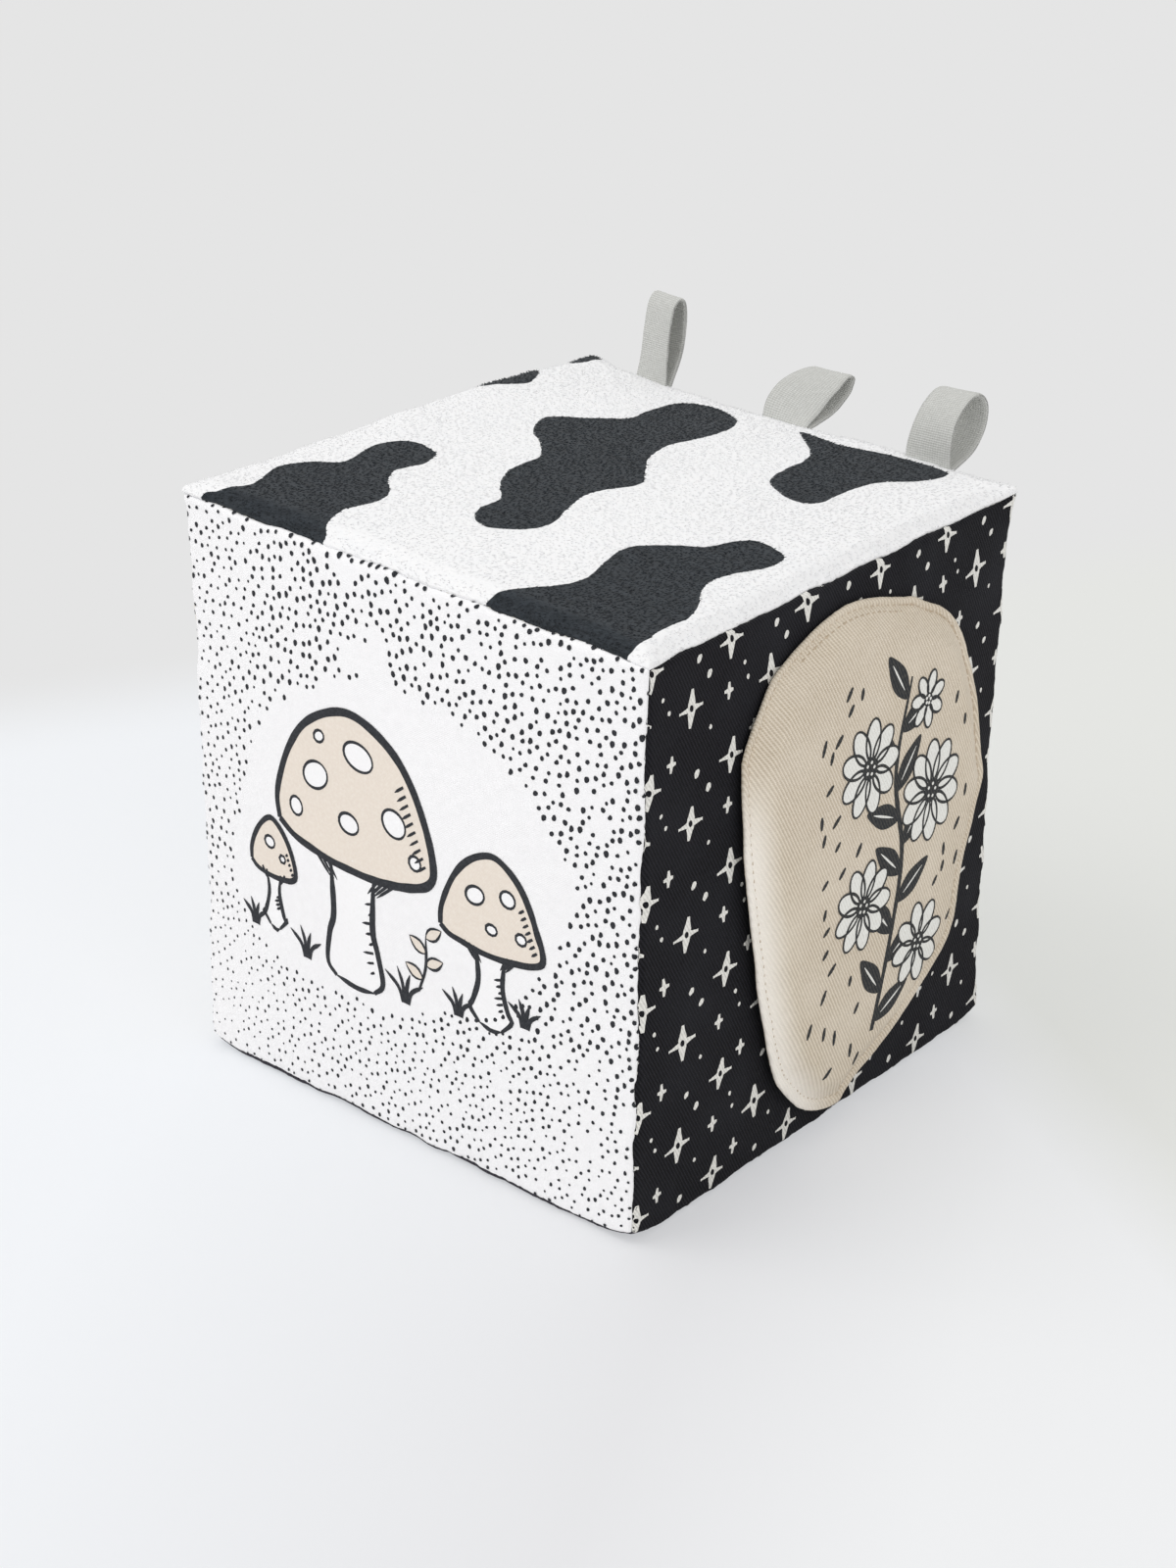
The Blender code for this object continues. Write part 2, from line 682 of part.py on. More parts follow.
def build_stitches(name, outline, normals, hinge):
    """Topstitch thread over the front cloth: full at each stitch, thin where it dips between."""
    path = [point + normal * STITCH_INSET for point, normal in zip(outline, normals)]
    path = [point for point in path if abs(point.y - FLAP_FOLD_HEIGHT) > STITCH_WIDTH * 2]
    length = sum((b - a).length for a, b in zip(path, path[1:]))
    count = int(length / STITCH_PITCH)
    fine = resample(path, count * 2)
    vertices = []
    faces = []
    base_height = FLAP_THICKNESS + STITCH_GAP
    for index in range(1, count * 2):
        run = (fine[index + 1] - fine[index - 1]).normalized()
        side = Vector((-run.y, run.x))
        share = 1.0 if index % 2 else STITCH_DIP_SHARE
        width = side * (STITCH_WIDTH / 2 * share)
        vertices.append(flap_point(fine[index] - width, base_height))
        vertices.append(flap_point(fine[index] + width, base_height))
        vertices.append(flap_point(fine[index], base_height + STITCH_HEIGHT * share))
    rings = count * 2 - 1
    faces.append([2, 1, 0])
    for ring in range(rings - 1):
        base = ring * 3
        for a, b in ((0, 1), (1, 2), (2, 0)):
            faces.append([base + a, base + b, base + 3 + b, base + 3 + a])
    last = (rings - 1) * 3
    faces.append([last, last + 1, last + 2])
    make_object(name, vertices, faces, "beige_thread",
                origin=hinge.location if hinge else None, parent=hinge)


def build_flap():
    """Padded flap that swings on its fold, and the margin above it that is sewn down."""
    dense = smooth_outline()
    moving = resample(cut_outline(dense, FLAP_FOLD_LOW, True), FLAP_OUTLINE_STEPS)
    fixed = resample(cut_outline(dense, FLAP_FOLD_HIGH, False), FLAP_MARGIN_STEPS)
    half = FLAP_THICKNESS / 2

    middle = (moving[0] + moving[-1]) / 2
    right_end = flap_point(moving[0], FLAP_THICKNESS)
    left_end = flap_point(moving[-1], FLAP_THICKNESS)
    axis_line = (left_end - right_end).normalized()
    bow = 0.0
    for step in range(FLAP_MARGIN_STEPS + 1):
        flat = moving[0].lerp(moving[-1], step / FLAP_MARGIN_STEPS)
        offset = flap_point(flat, FLAP_THICKNESS) - right_end
        bow = max(bow, (offset - axis_line * offset.dot(axis_line)).x)
    axis_point = (left_end + right_end) / 2 + Vector((bow, 0, FIT_GAP / 2))
    hinge = make_hinge("flap_hinge", axis_point)
    print("flap hinge at", [round(v, 5) for v in axis_point], "axis", [round(v, 4) for v in axis_line])

    outer = rounded(0.0, FIT_GAP / 2, half)
    inner = rounded(FLAP_CLOTH, FIT_GAP / 2, half - FLAP_CLOTH)
    wad = rounded(FLAP_CLOTH + FIT_GAP, 0.0, half - FLAP_CLOTH - FIT_GAP)

    def surface(points, profile, sign):
        centre = (points[0] + points[-1]) / 2
        heights = [half + sign * height for height in profile[1]]
        return pad_surface(points, centre, profile[0], heights)

    join_pads("flap_front_cloth", "beige_twill", surface(moving, inner, 1),
              surface(moving, outer, 1), middle, hinge, False)
    join_pads("flap_back_cloth", "beige_twill", surface(moving, outer, -1),
              surface(moving, inner, -1), middle, hinge, False)
    join_pads("flap_wadding", "polyester_wadding", surface(moving, wad, -1),
              surface(moving, wad, 1), middle, hinge, True)
    build_stitches("flap_topstitch", moving, inward_normals(moving, middle), hinge)

    top_middle = (fixed[0] + fixed[-1]) / 2
    edge = rounded(0.0, 0.0, half)
    join_pads("flap_sewn_margin", "beige_twill", surface(fixed, edge, -1),
              surface(fixed, edge, 1), top_middle, None, True)
    build_stitches("flap_attaching_stitch", fixed, inward_normals(fixed, top_middle), None)


def main():
    """Build every piece of the block."""
    clear_scene()
    build_panel("front", "white_dotted_cotton")
    build_panel("right", "black_star_twill")
    build_panel("back", "grey_cotton")
    build_panel("left", "cream_cotton")
    build_panel("top", "cow_plush")
    build_panel("bottom", "charcoal_twill")
    build_foam()
    build_seam_threads()
    for index, place_x in enumerate(loop_centres()):
        build_loop(index, place_x)
    build_flap()


main()
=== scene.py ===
"""Soft fabric activity block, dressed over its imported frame.

A foam cube in six sewn panels: dotted white cotton in front, starred black twill on the right, a
patched plush top, three grey tape loops in the top back seam and a padded flap on the right face.
Every length is in metres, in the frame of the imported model.
"""
import json
import logging
import math
from dataclasses import dataclass
from enum import Enum
from typing import Iterable, Sequence

import bmesh
import bpy
import numpy as np
from mathutils import Matrix, Vector
from mathutils.geometry import delaunay_2d_cdt

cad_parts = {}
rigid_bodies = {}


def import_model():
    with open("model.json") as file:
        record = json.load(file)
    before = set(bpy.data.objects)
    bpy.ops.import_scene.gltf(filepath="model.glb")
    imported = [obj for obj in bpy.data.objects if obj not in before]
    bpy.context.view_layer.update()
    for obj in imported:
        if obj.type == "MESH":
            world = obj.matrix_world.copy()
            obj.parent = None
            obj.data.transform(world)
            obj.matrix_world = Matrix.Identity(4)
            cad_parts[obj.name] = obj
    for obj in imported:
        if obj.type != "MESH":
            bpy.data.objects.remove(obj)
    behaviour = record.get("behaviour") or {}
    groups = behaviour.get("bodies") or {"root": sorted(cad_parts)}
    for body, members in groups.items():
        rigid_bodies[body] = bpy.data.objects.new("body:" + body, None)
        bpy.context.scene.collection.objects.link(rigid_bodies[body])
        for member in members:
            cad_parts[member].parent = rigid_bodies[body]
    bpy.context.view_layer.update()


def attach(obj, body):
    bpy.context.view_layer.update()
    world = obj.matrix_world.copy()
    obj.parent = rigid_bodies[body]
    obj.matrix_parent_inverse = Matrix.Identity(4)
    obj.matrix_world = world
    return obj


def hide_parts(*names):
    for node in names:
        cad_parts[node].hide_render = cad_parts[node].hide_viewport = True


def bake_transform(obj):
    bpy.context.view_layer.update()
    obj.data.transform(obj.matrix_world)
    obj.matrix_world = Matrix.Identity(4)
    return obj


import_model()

LOG = logging.getLogger("soft_block")
MM = 0.001
# Width of cloth that one whole UV map covers.
FLAT_SPAN = 0.16
# Added to places on a panel before they meet the noise, so that they stay above zero.
NOISE_START = 0.5
# Moves a point off a line that it lies on, towards its own side.
NUDGE = 1e-9
# A print goes on into the seam for this share of the cloth's turn, and rises a little over the rolled edge.
PRINT_DIVE, PRINT_RAMP, PRINT_RISE = 0.7, 0.002, 0.00008
Array = np.ndarray
Triple = tuple[float, float, float]
Colour = tuple[float, float, float]
Shape = tuple[Array, list[list[int]]]


@dataclass(frozen=True)
class BlockSizes:
    """Sizes of the sewn cube, the same as those of its solids."""

    side: float = 0.140
    crown: float = 0.0025
    draw_in: float = 0.0007
    corner_reach: float = 0.20
    corner_lift: float = 0.0029
    roll: float = 0.0017
    seam_gap: float = 0.0002

    @property
    def half(self) -> float:
        """Half of the cube's side."""
        return self.side / 2

    @property
    def flat(self) -> float:
        """Half of the flat part of a face, up to where its cloth rolls over the edge."""
        return self.half - self.seam_gap - self.roll

    @property
    def reach(self) -> float:
        """Length of cloth from the flat part to the middle of the rolled edge."""
        return self.roll * math.pi / 4


CORNER_NUDGES: dict[tuple[int, int, int], Triple] = {
    (-1, -1, 1): (-0.0043, 0.0079, 0.0243), (1, -1, 1): (0.0064, 0.0036, -0.0029),
    (1, 1, 1): (-0.0236, 0.0008, 0.0), (-1, 1, 1): (0.0200, 0.0229, 0.0136),
    (-1, -1, -1): (0.0207, -0.0071, 0.0), (1, -1, -1): (0.0007, -0.0021, 0.0),
    (1, 1, -1): (-0.0200, 0.0003, 0.0), (-1, 1, -1): (0.0107, 0.0107, 0.0),
}
CORNER_POINTS: dict[tuple[int, int, int], float] = {
    (-1, -1, 1): 0.0010, (1, -1, 1): 0.0005, (1, 1, 1): 0.0023, (-1, 1, 1): 0.0009,
}


@dataclass(frozen=True)
class EdgeBow:
    """An edge that the stuffing pushes out: its direction, 1 or -1 for top or bottom, where, and how far."""

    outward: tuple[int, int]
    level: int
    middle: float
    spread: float
    push: Triple

    def shift(self, a: Array, b: Array, c: Array) -> Array:
        """Movement of each point, given its shares of the half side."""
        x, y = self.outward
        along, towards = (b, a * x) if x else (a, b * y)
        share = (np.maximum(towards, 0) * np.maximum(c * self.level, 0)) ** 3
        return (share * np.exp(-((along - self.middle) / self.spread) ** 2))[:, None] * np.array(self.push)


EDGE_BOWS = (EdgeBow((-1, 0), 1, 0.35, 0.75, (-0.0018, 0.0, 0.0034)),
             EdgeBow((0, 1), 1, 0.4, 0.5, (0.0, 0.0006, 0.0010)),
             EdgeBow((0, -1), -1, 0.0, 0.8, (0.0, -0.0010, 0.0)),
             EdgeBow((1, 0), -1, 0.0, 0.8, (0.0009, 0.0, 0.0)))


class Face(Enum):
    """A face of the cube with its across, up and outward directions."""

    FRONT = ((1, 0, 0), (0, 0, 1), (0, -1, 0))
    RIGHT = ((0, 1, 0), (0, 0, 1), (1, 0, 0))
    BACK = ((-1, 0, 0), (0, 0, 1), (0, 1, 0))
    LEFT = ((0, -1, 0), (0, 0, 1), (-1, 0, 0))
    TOP = ((1, 0, 0), (0, 1, 0), (0, 0, 1))
    BOTTOM = ((1, 0, 0), (0, -1, 0), (0, 0, -1))

    @property
    def axes(self) -> Array:
        """The three directions as rows."""
        return np.array(self.value, float)

    def beside(self, direction: Array) -> "Face":
        """The face whose outward direction is the given one."""
        return next(f for f in Face if np.allclose(f.axes[2], direction))


class SmoothNoise:
    """Repeatable smooth noise between -1 and 1 on a plane."""

    COUNT = 64

    def __init__(self, seed: int, cell: float) -> None:
        """Draw the lattice.

        Args:
            seed: Fixed seed of the random values.
            cell: Distance between lattice points.
        """
        self.values = np.random.default_rng(seed).uniform(-1, 1, (self.COUNT, self.COUNT))
        self.cell = cell

    def __call__(self, x: Array, y: Array | float = 0.0) -> Array:
        """Return the noise at each point."""
        gx, gy = np.broadcast_arrays(np.asarray(x, float) / self.cell, np.asarray(y, float) / self.cell)
        ix, iy = np.floor(gx).astype(int), np.floor(gy).astype(int)
        fx, fy = gx - ix, gy - iy
        fx, fy = fx * fx * (3 - 2 * fx), fy * fy * (3 - 2 * fy)
        low = self._at(ix, iy) * (1 - fx) + self._at(ix + 1, iy) * fx
        high = self._at(ix, iy + 1) * (1 - fx) + self._at(ix + 1, iy + 1) * fx
        return low * (1 - fy) + high * fy

    def _at(self, column: Array, row: Array) -> Array:
        """Values at lattice points, which repeat beyond the last one."""
        return self.values[column % self.COUNT, row % self.COUNT]

    def on_plane(self, x: Array, y: Array) -> Array:
        """The noise at points of a plane that has its origin in the middle of a panel."""
        return self(x + NOISE_START, y + NOISE_START)


def smooth_step(value: Array) -> Array:
    """Rise smoothly from 0 to 1 as the value goes from 0 to 1."""
    t = np.clip(value, 0.0, 1.0)
    return t * t * (3 - 2 * t)


def unit(vectors: Array) -> Array:
    """Return the rows at length 1."""
    return vectors / np.maximum(np.linalg.norm(vectors, axis=-1, keepdims=True), 1e-12)


def curve_point(p0: Array, p1: Array, p2: Array, p3: Array, t: float) -> Array:
    """Point of a smooth curve at a share of the way from p1 to p2, with their neighbours."""
    return (2 * p1 + (p2 - p0) * t + (2 * p0 - 5 * p1 + 4 * p2 - p3) * t * t
            + (3 * p1 - p0 - 3 * p2 + p3) * t ** 3) / 2


def closed_curve(points: Sequence[Sequence[float]], parts: int = 6) -> Array:
    """Smooth closed curve through points.

    Args:
        points: Corner points in order.
        parts: Points of the result for each point given.

    Returns:
        Rows of the denser curve.
    """
    p = np.asarray(points, float)
    rows = [curve_point(np.roll(p, 1, 0), p, np.roll(p, -1, 0), np.roll(p, -2, 0), part / parts)
            for part in range(parts)]
    return np.stack(rows, 1).reshape(-1, p.shape[1])


def open_curve(points: Sequence[Sequence[float]], parts: int = 6) -> Array:
    """Smooth open curve through points, as closed_curve does."""
    p = np.asarray(points, float)
    ends = np.vstack([2 * p[0] - p[1], p, 2 * p[-1] - p[-2]])
    rows = [curve_point(*ends[index:index + 4], part / parts)
            for index in range(len(p) - 1) for part in range(parts)]
    return np.array([*rows, p[-1]])


def run_along(line: Array) -> Array:
    """Distance of each point of an open line from its start."""
    return np.concatenate([[0], np.cumsum(np.linalg.norm(np.diff(line, axis=0), axis=1))])


def points_along(line: Array, run: Array, at: Array) -> Array:
    """Points of a line at the given distances from its start."""
    return np.column_stack([np.interp(at, run, line[:, k]) for k in range(line.shape[1])])


def evenly(line: Array, count: int) -> Array:
    """Points at even distances along an open line."""
    run = run_along(line)
    return points_along(line, run, np.linspace(0, run[-1], count))


def lattice(rows: int, columns: int, start: int = 0) -> Array:
    """Corner numbers of the quads between rows of points."""
    index = start + np.arange(rows * columns).reshape(rows, columns)
    return np.stack([index[:-1, :-1], index[1:, :-1], index[1:, 1:], index[:-1, 1:]], -1).reshape(-1, 4)


def compass(turn: float) -> tuple[Array, Array]:
    """The direction at an angle on a plane, and the one to its left."""
    return np.array([math.cos(turn), math.sin(turn)]), np.array([-math.sin(turn), math.cos(turn)])


def edge_distance(points: Array, outline: Array) -> tuple[Array, Array]:
    """Distance from points to a closed outline.

    Args:
        points: Rows of two coordinates.
        outline: Rows of the closed outline.

    Returns:
        The distance, positive inside, and how far round the outline the nearest place is.
    """
    nearest = np.full(len(points), np.inf)
    place = np.zeros(len(points))
    inside = np.zeros(len(points), bool)
    run = 0.0
    for a, b in zip(outline, np.roll(outline, -1, 0)):
        step = b - a
        length = float(np.hypot(*step))
        if length == 0:
            continue
        t = np.clip(((points - a) @ step) / length ** 2, 0, 1)
        gap = np.hypot(*(points - a - t[:, None] * step).T)
        closer = gap < nearest
        nearest[closer], place[closer] = gap[closer], (run + t * length)[closer]
        level = (a[1] > points[:, 1]) != (b[1] > points[:, 1])
        if level.any() and step[1] != 0:
            inside ^= level & (points[:, 0] < step[0] * (points[:, 1] - a[1]) / step[1] + a[0])
        run += length
    return np.where(inside, nearest, -nearest), place


class BlockForm:
    """The sewn, slightly crowned cube that all cloth lies on."""

    def __init__(self, sizes: BlockSizes) -> None:
        """Keep the sizes."""
        self.sizes = sizes
        self.centre = np.array([0.0, 0.0, sizes.half])

    def _corner_weight(self, share: Array) -> Array:
        """0 away from a corner, rising smoothly to 1 at it."""
        reach = self.sizes.corner_reach
        return np.maximum(0.0, (np.abs(share) - (1 - reach)) / reach) ** 2

    def soften(self, points: Array) -> Array:
        """Carry points of the plain cube to the sewn block."""
        s = self.sizes
        a, b, c = np.clip((points - self.centre) / s.half, -1, 1).T
        pa, pb, pc = a * a, b * b, c * c
        ra, rb, rc = 1 - pa, 1 - pb, 1 - pc
        shift = np.stack([
            a * (s.crown * rb * rc - s.draw_in * (pb * rc + pc * rb)),
            b * (s.crown * ra * rc - s.draw_in * (pa * rc + pc * ra)),
            np.maximum(c, 0) * (s.crown * ra * rb - s.draw_in * (pa * rb + pb * ra)),
        ], 1)
        near = self._corner_weight(a) * self._corner_weight(b) * self._corner_weight(c)
        for (sx, sy, sz), nudge in CORNER_NUDGES.items():
            weight = (1 + sx * a) / 2 * (1 + sy * b) / 2 * (1 + sz * c) / 2
            shift += weight[:, None] * s.side * np.array(nudge)
            here = (sx * a > 0) & (sy * b > 0) & (sz * c > 0)
            outward = unit(np.array([sx, sy, sz], float))
            shift += (near * here)[:, None] * CORNER_POINTS.get((sx, sy, sz), 0.0) * outward
        shift[:, 2] += np.where(c < 0, near * s.corner_lift, 0.0)
        for bow in EDGE_BOWS:
            shift += bow.shift(a, b, c)
        return points + shift


@dataclass(frozen=True)
class Seam:
    """A sewn edge between two faces.

    wrap is how far the first face's cloth reaches over the edge on to the second face, and wander
    how unsteadily it does so.
    """

    first: Face
    second: Face
    wrap: float
    wander: float
    seed: int
    slow_wobble: float = 0.00028
    quick_wobble: float = 0.00012
    pucker: float = 0.00030
    dent: float = 0.00016
    stitch_pitch: float = 0.0024
    fade: float = 0.012
    slow_cell: float = 0.0070
    quick_cell: float = 0.0013
    wide_cell: float = 0.0065
    narrow_cell: float = 0.0022
    wide_reach: float = 0.0055
    narrow_reach: float = 0.0025
    dent_reach: float = 0.0011

    def shift(self, form: BlockForm, along: Array) -> Array:
        """How far the seam lies over the middle of the edge, towards the second face."""
        slow, quick = SmoothNoise(self.seed, self.slow_cell), SmoothNoise(self.seed + 1, self.quick_cell)
        share = smooth_step((form.sizes.flat - np.abs(along)) / self.fade)
        place = along + NOISE_START
        wander = self.slow_wobble * slow(place) + self.quick_wobble * quick(place)
        return share * (self.wrap + self.wander * wander)

    def rise(self, along: Array, gap: Array) -> Array:
        """Height of puckers and stitch dents at a distance from the seam."""
        wide, narrow = SmoothNoise(self.seed + 2, self.wide_cell), SmoothNoise(self.seed + 3, self.narrow_cell)
        place = along + NOISE_START
        folds = wide(place) * np.exp(-gap / self.wide_reach) + 0.5 * narrow(place) * np.exp(-gap / self.narrow_reach)
        beat = np.cos(along * 2 * math.pi / self.stitch_pitch + 1.5 * narrow(along + 0.3))
        return self.pucker * folds - self.dent * (0.5 + 0.5 * beat) * np.exp(-gap / self.dent_reach)


class SeamSet:
    """The twelve seams of the cube, found by the two faces that they join."""

    def __init__(self) -> None:
        """Name every seam and how its cloth wraps."""
        table = {
            (Face.TOP, Face.FRONT): (-0.0009, 1.0), (Face.TOP, Face.RIGHT): (-0.0008, 1.1),
            (Face.TOP, Face.BACK): (0.0003, 1.0), (Face.TOP, Face.LEFT): (0.0003, 1.0),
            (Face.FRONT, Face.RIGHT): (-0.0001, 1.7), (Face.RIGHT, Face.BACK): (0.0, 1.0),
            (Face.BACK, Face.LEFT): (0.0, 1.0), (Face.FRONT, Face.LEFT): (0.0004, 1.0),
            (Face.BOTTOM, Face.FRONT): (0.0006, 1.0), (Face.BOTTOM, Face.RIGHT): (-0.0008, 0.7),
            (Face.BOTTOM, Face.BACK): (0.0004, 1.0), (Face.BOTTOM, Face.LEFT): (0.0004, 1.0),
        }
        self.seams = {pair: Seam(*pair, wrap=wrap, wander=wander, seed=100 + 10 * number)
                      for number, (pair, (wrap, wander)) in enumerate(table.items())}

    def between(self, face: Face, other: Face) -> tuple[Seam, float]:
        """The seam of two faces, and 1 or -1 as the first face is its first or second one."""
        if (face, other) in self.seams:
            return self.seams[face, other], 1.0
        return self.seams[other, face], -1.0


class PanelSurface:
    """Where the cloth of one face lies, from its middle to inside its seams."""

    DIVE = 0.0011
    GROOVE = 0.00035
    GROOVE_WIDTH = 0.0010
    BROAD_CELL, FINE_CELL, FINE_SHARE = 0.030, 0.009, 0.35
    PILE_RISE, PILE_TURN = 0.0045, 0.03

    def __init__(self, form: BlockForm, seams: SeamSet, face: Face, seed: int,
                 wave: float = 0.00022, pile: float = 0.0, near_pile: float = 0.0, far_pile: float = 0.0) -> None:
        """Keep what shapes the panel.

        Args:
            form: The block's form.
            seams: All seams.
            face: The face covered.
            seed: Seed of the panel's own waves.
            wave: Height of the soft waves of the cloth.
            pile: Height of the pile over the cloth.
            near_pile: Height of the pile at the front and right seams.
            far_pile: Height of the pile at the back and left seams.
        """
        self.form, self.seams, self.face = form, seams, face
        self.broad, self.fine = SmoothNoise(seed, self.BROAD_CELL), SmoothNoise(seed + 1, self.FINE_CELL)
        self.wave, self.pile, self.near_pile, self.far_pile = wave, pile, near_pile, far_pile

    def _sides(self) -> Iterable[tuple[int, int, Seam, float, float]]:
        """Each side: its axis, its sign, its seam, whose wrap it takes, and the way along it."""
        axes = self.face.axes
        for axis in (0, 1):
            for sign in (-1, 1):
                seam, owner = self.seams.between(self.face, self.face.beside(axes[axis] * sign))
                yield axis, sign, seam, owner, float(axes[1 - axis].sum())

    def reaches(self, across: Array, up: Array) -> tuple[Array, Array]:
        """Length of cloth from the flat part to the seam, across and up, at each point."""
        s = self.form.sizes
        flat = (np.clip(across, -s.flat, s.flat), np.clip(up, -s.flat, s.flat))
        found = [np.full(across.shape, s.reach), np.full(across.shape, s.reach)]
        for axis, sign, seam, owner, way in self._sides():
            shift = owner * seam.shift(self.form, flat[1 - axis] * way)
            here = (across, up)[axis] * sign > 0
            found[axis] = np.where(here, s.reach + shift, found[axis])
        return found[0], found[1]

    def place(self, across: Array, up: Array, lift: Array | float = 0.0) -> Array:
        """Put points of the flat panel on the block.

        Args:
            across: Distances from the panel's middle along its first direction.
            up: Distances along its second direction.
            lift: Height over the cloth.

        Returns:
            Rows of points in the model's frame.
        """
        return self.place_with_normal(across, up, lift)[0]

    def place_with_normal(self, across: Array, up: Array, lift: Array | float = 0.0) -> tuple[Array, Array]:
        """As place, with the outward direction of each point."""
        s, axes = self.form.sizes, self.face.axes
        across, up = np.asarray(across, float), np.asarray(up, float)
        reach = self.reaches(across, up)
        flat, angle, over = [], [], []
        for value, limit in zip((across, up), reach):
            run = np.maximum(np.abs(value) - s.flat, 0)
            flat.append(np.clip(value, -s.flat, s.flat))
            angle.append(np.sign(value) * np.minimum(run, limit) / s.roll)
            over.append(np.maximum(run - limit, 0))
        local = unit(np.stack([np.tan(angle[0]), np.tan(angle[1]), np.ones_like(across)], 1))
        normal = local @ axes
        points = self.form.centre + np.stack([*flat, np.full(across.shape, s.flat)], 1) @ axes + s.roll * normal
        points = self.form.soften(points)
        height = self.wave * (self.broad.on_plane(across, up) + self.FINE_SHARE * self.fine.on_plane(across, up))
        nearest = np.full(across.shape, np.inf)
        for axis, sign, seam, _, way in self._sides():
            gap = np.maximum(s.flat + reach[axis] - (across, up)[axis] * sign, 0)
            height = height + seam.rise(flat[1 - axis] * way, gap)
            nearest = np.minimum(nearest, gap)
        height -= self.GROOVE * np.maximum(1 - nearest / self.GROOVE_WIDTH, 0) ** 2
        dive = np.maximum(over[0], over[1])
        if self.pile:
            far = smooth_step(0.5 + (up - across) / self.PILE_TURN)
            edge = self.near_pile + (self.far_pile - self.near_pile) * far
            height += edge + (self.pile - edge) * smooth_step(nearest / self.PILE_RISE)
            dive = dive * (1 + edge / self.DIVE)
        return points + normal * (height + lift - dive)[:, None], normal

    def grid(self, step: float, roll_rows: int = 5, dive_rows: int = 3) -> tuple[Array, Array, Array]:
        """Flat coordinates and quads of a mesh over the whole panel.

        Args:
            step: Mesh size of the flat part.
            roll_rows: Rows over each rolled edge.
            dive_rows: Rows that turn into each seam.

        Returns:
            Across and up of each vertex, and rows of four vertex numbers.
        """
        s = self.form.sizes
        count = int(round(2 * s.flat / step))
        core = np.concatenate([np.full(roll_rows + dive_rows, -s.flat), np.linspace(-s.flat, s.flat, count + 1),
                               np.full(roll_rows + dive_rows, s.flat)])
        ramp = np.concatenate([np.arange(1, roll_rows + 1) / roll_rows, 1 + np.arange(1, dive_rows + 1) / dive_rows])
        share = np.concatenate([-ramp[::-1], np.zeros(count + 1), ramp])
        core_a, core_b = (g.ravel() for g in np.meshgrid(core, core, indexing="ij"))
        share_a, share_b = (g.ravel() for g in np.meshgrid(share, share, indexing="ij"))
        sign_a = np.where(share_a != 0, np.sign(share_a), np.sign(core_a))
        sign_b = np.where(share_b != 0, np.sign(share_b), np.sign(core_b))
        reach_a, reach_b = self.reaches(core_a + sign_a * NUDGE, core_b + sign_b * NUDGE)
        return (self._rolled(core_a, share_a, reach_a), self._rolled(core_b, share_b, reach_b),
                lattice(len(core), len(core)))

    def _rolled(self, core: Array, share: Array, reach: Array) -> Array:
        """Flat coordinate of points that lie a share of the way over the edge, or beyond it in the seam."""
        size = np.abs(share)
        return core + np.sign(share) * (np.minimum(size, 1) * reach + np.maximum(size - 1, 0) * self.DIVE)


def add_mesh(name: str, points: Array, faces: Array | Sequence[Sequence[int]],
             material: bpy.types.Material, flat: Array | None = None) -> bpy.types.Object:
    """Add one smooth mesh at the origin.

    Args:
        name: Name of the piece.
        points: Rows of vertices.
        faces: Vertex numbers of each face.
        material: Its finish.
        flat: Flat coordinates of each vertex, kept as the cloth's UV map.

    Returns:
        The new object.
    """
    mesh = bpy.data.meshes.new(name)
    mesh.from_pydata(np.asarray(points, float).tolist(), [], [list(map(int, f)) for f in faces])
    return finish_mesh(mesh, name, material, flat)


def finish_mesh(mesh: bpy.types.Mesh, name: str, material: bpy.types.Material,
                flat: Array | None = None) -> bpy.types.Object:
    """Turn a mesh into a named, smooth object with its finish and its cloth UV map."""
    mesh.update()
    mesh.name = name
    item = bpy.data.objects.new(name, mesh)
    bpy.context.scene.collection.objects.link(item)
    mesh.materials.clear()
    mesh.materials.append(material)
    mesh.shade_smooth()
    if flat is not None:
        layer = mesh.uv_layers.new(name="cloth")
        corner = np.empty(len(mesh.loops), np.int32)
        mesh.loops.foreach_get("vertex_index", corner)
        layer.uv.foreach_set("vector", (flat[corner] / FLAT_SPAN + 0.5).astype(np.float32).ravel())
    return item


def mesh_points(mesh: bpy.types.Mesh) -> Array:
    """Rows of a mesh's vertices."""
    points = np.empty(len(mesh.vertices) * 3)
    mesh.vertices.foreach_get("co", points)
    return points.reshape(-1, 3)


def put_attribute(mesh: bpy.types.Mesh, name: str, values: Array) -> None:
    """Keep one number or vector for each vertex."""
    kind, key = ("FLOAT", "value") if values.ndim == 1 else ("FLOAT_VECTOR", "vector")
    layer = mesh.attributes.new(name, kind, "POINT")
    layer.data.foreach_set(key, values.astype(np.float32).ravel())


def mend(mesh: bpy.types.Mesh, merge: float = 0.0) -> None:
    """Merge close vertices, drop unused ones and turn every face outwards."""
    shape = bmesh.new()
    shape.from_mesh(mesh)
    if merge:
        bmesh.ops.remove_doubles(shape, verts=shape.verts, dist=merge)
    bmesh.ops.delete(shape, geom=[v for v in shape.verts if not v.link_faces], context="VERTS")
    bmesh.ops.recalc_face_normals(shape, faces=shape.faces)
    shape.to_mesh(mesh)
    shape.free()


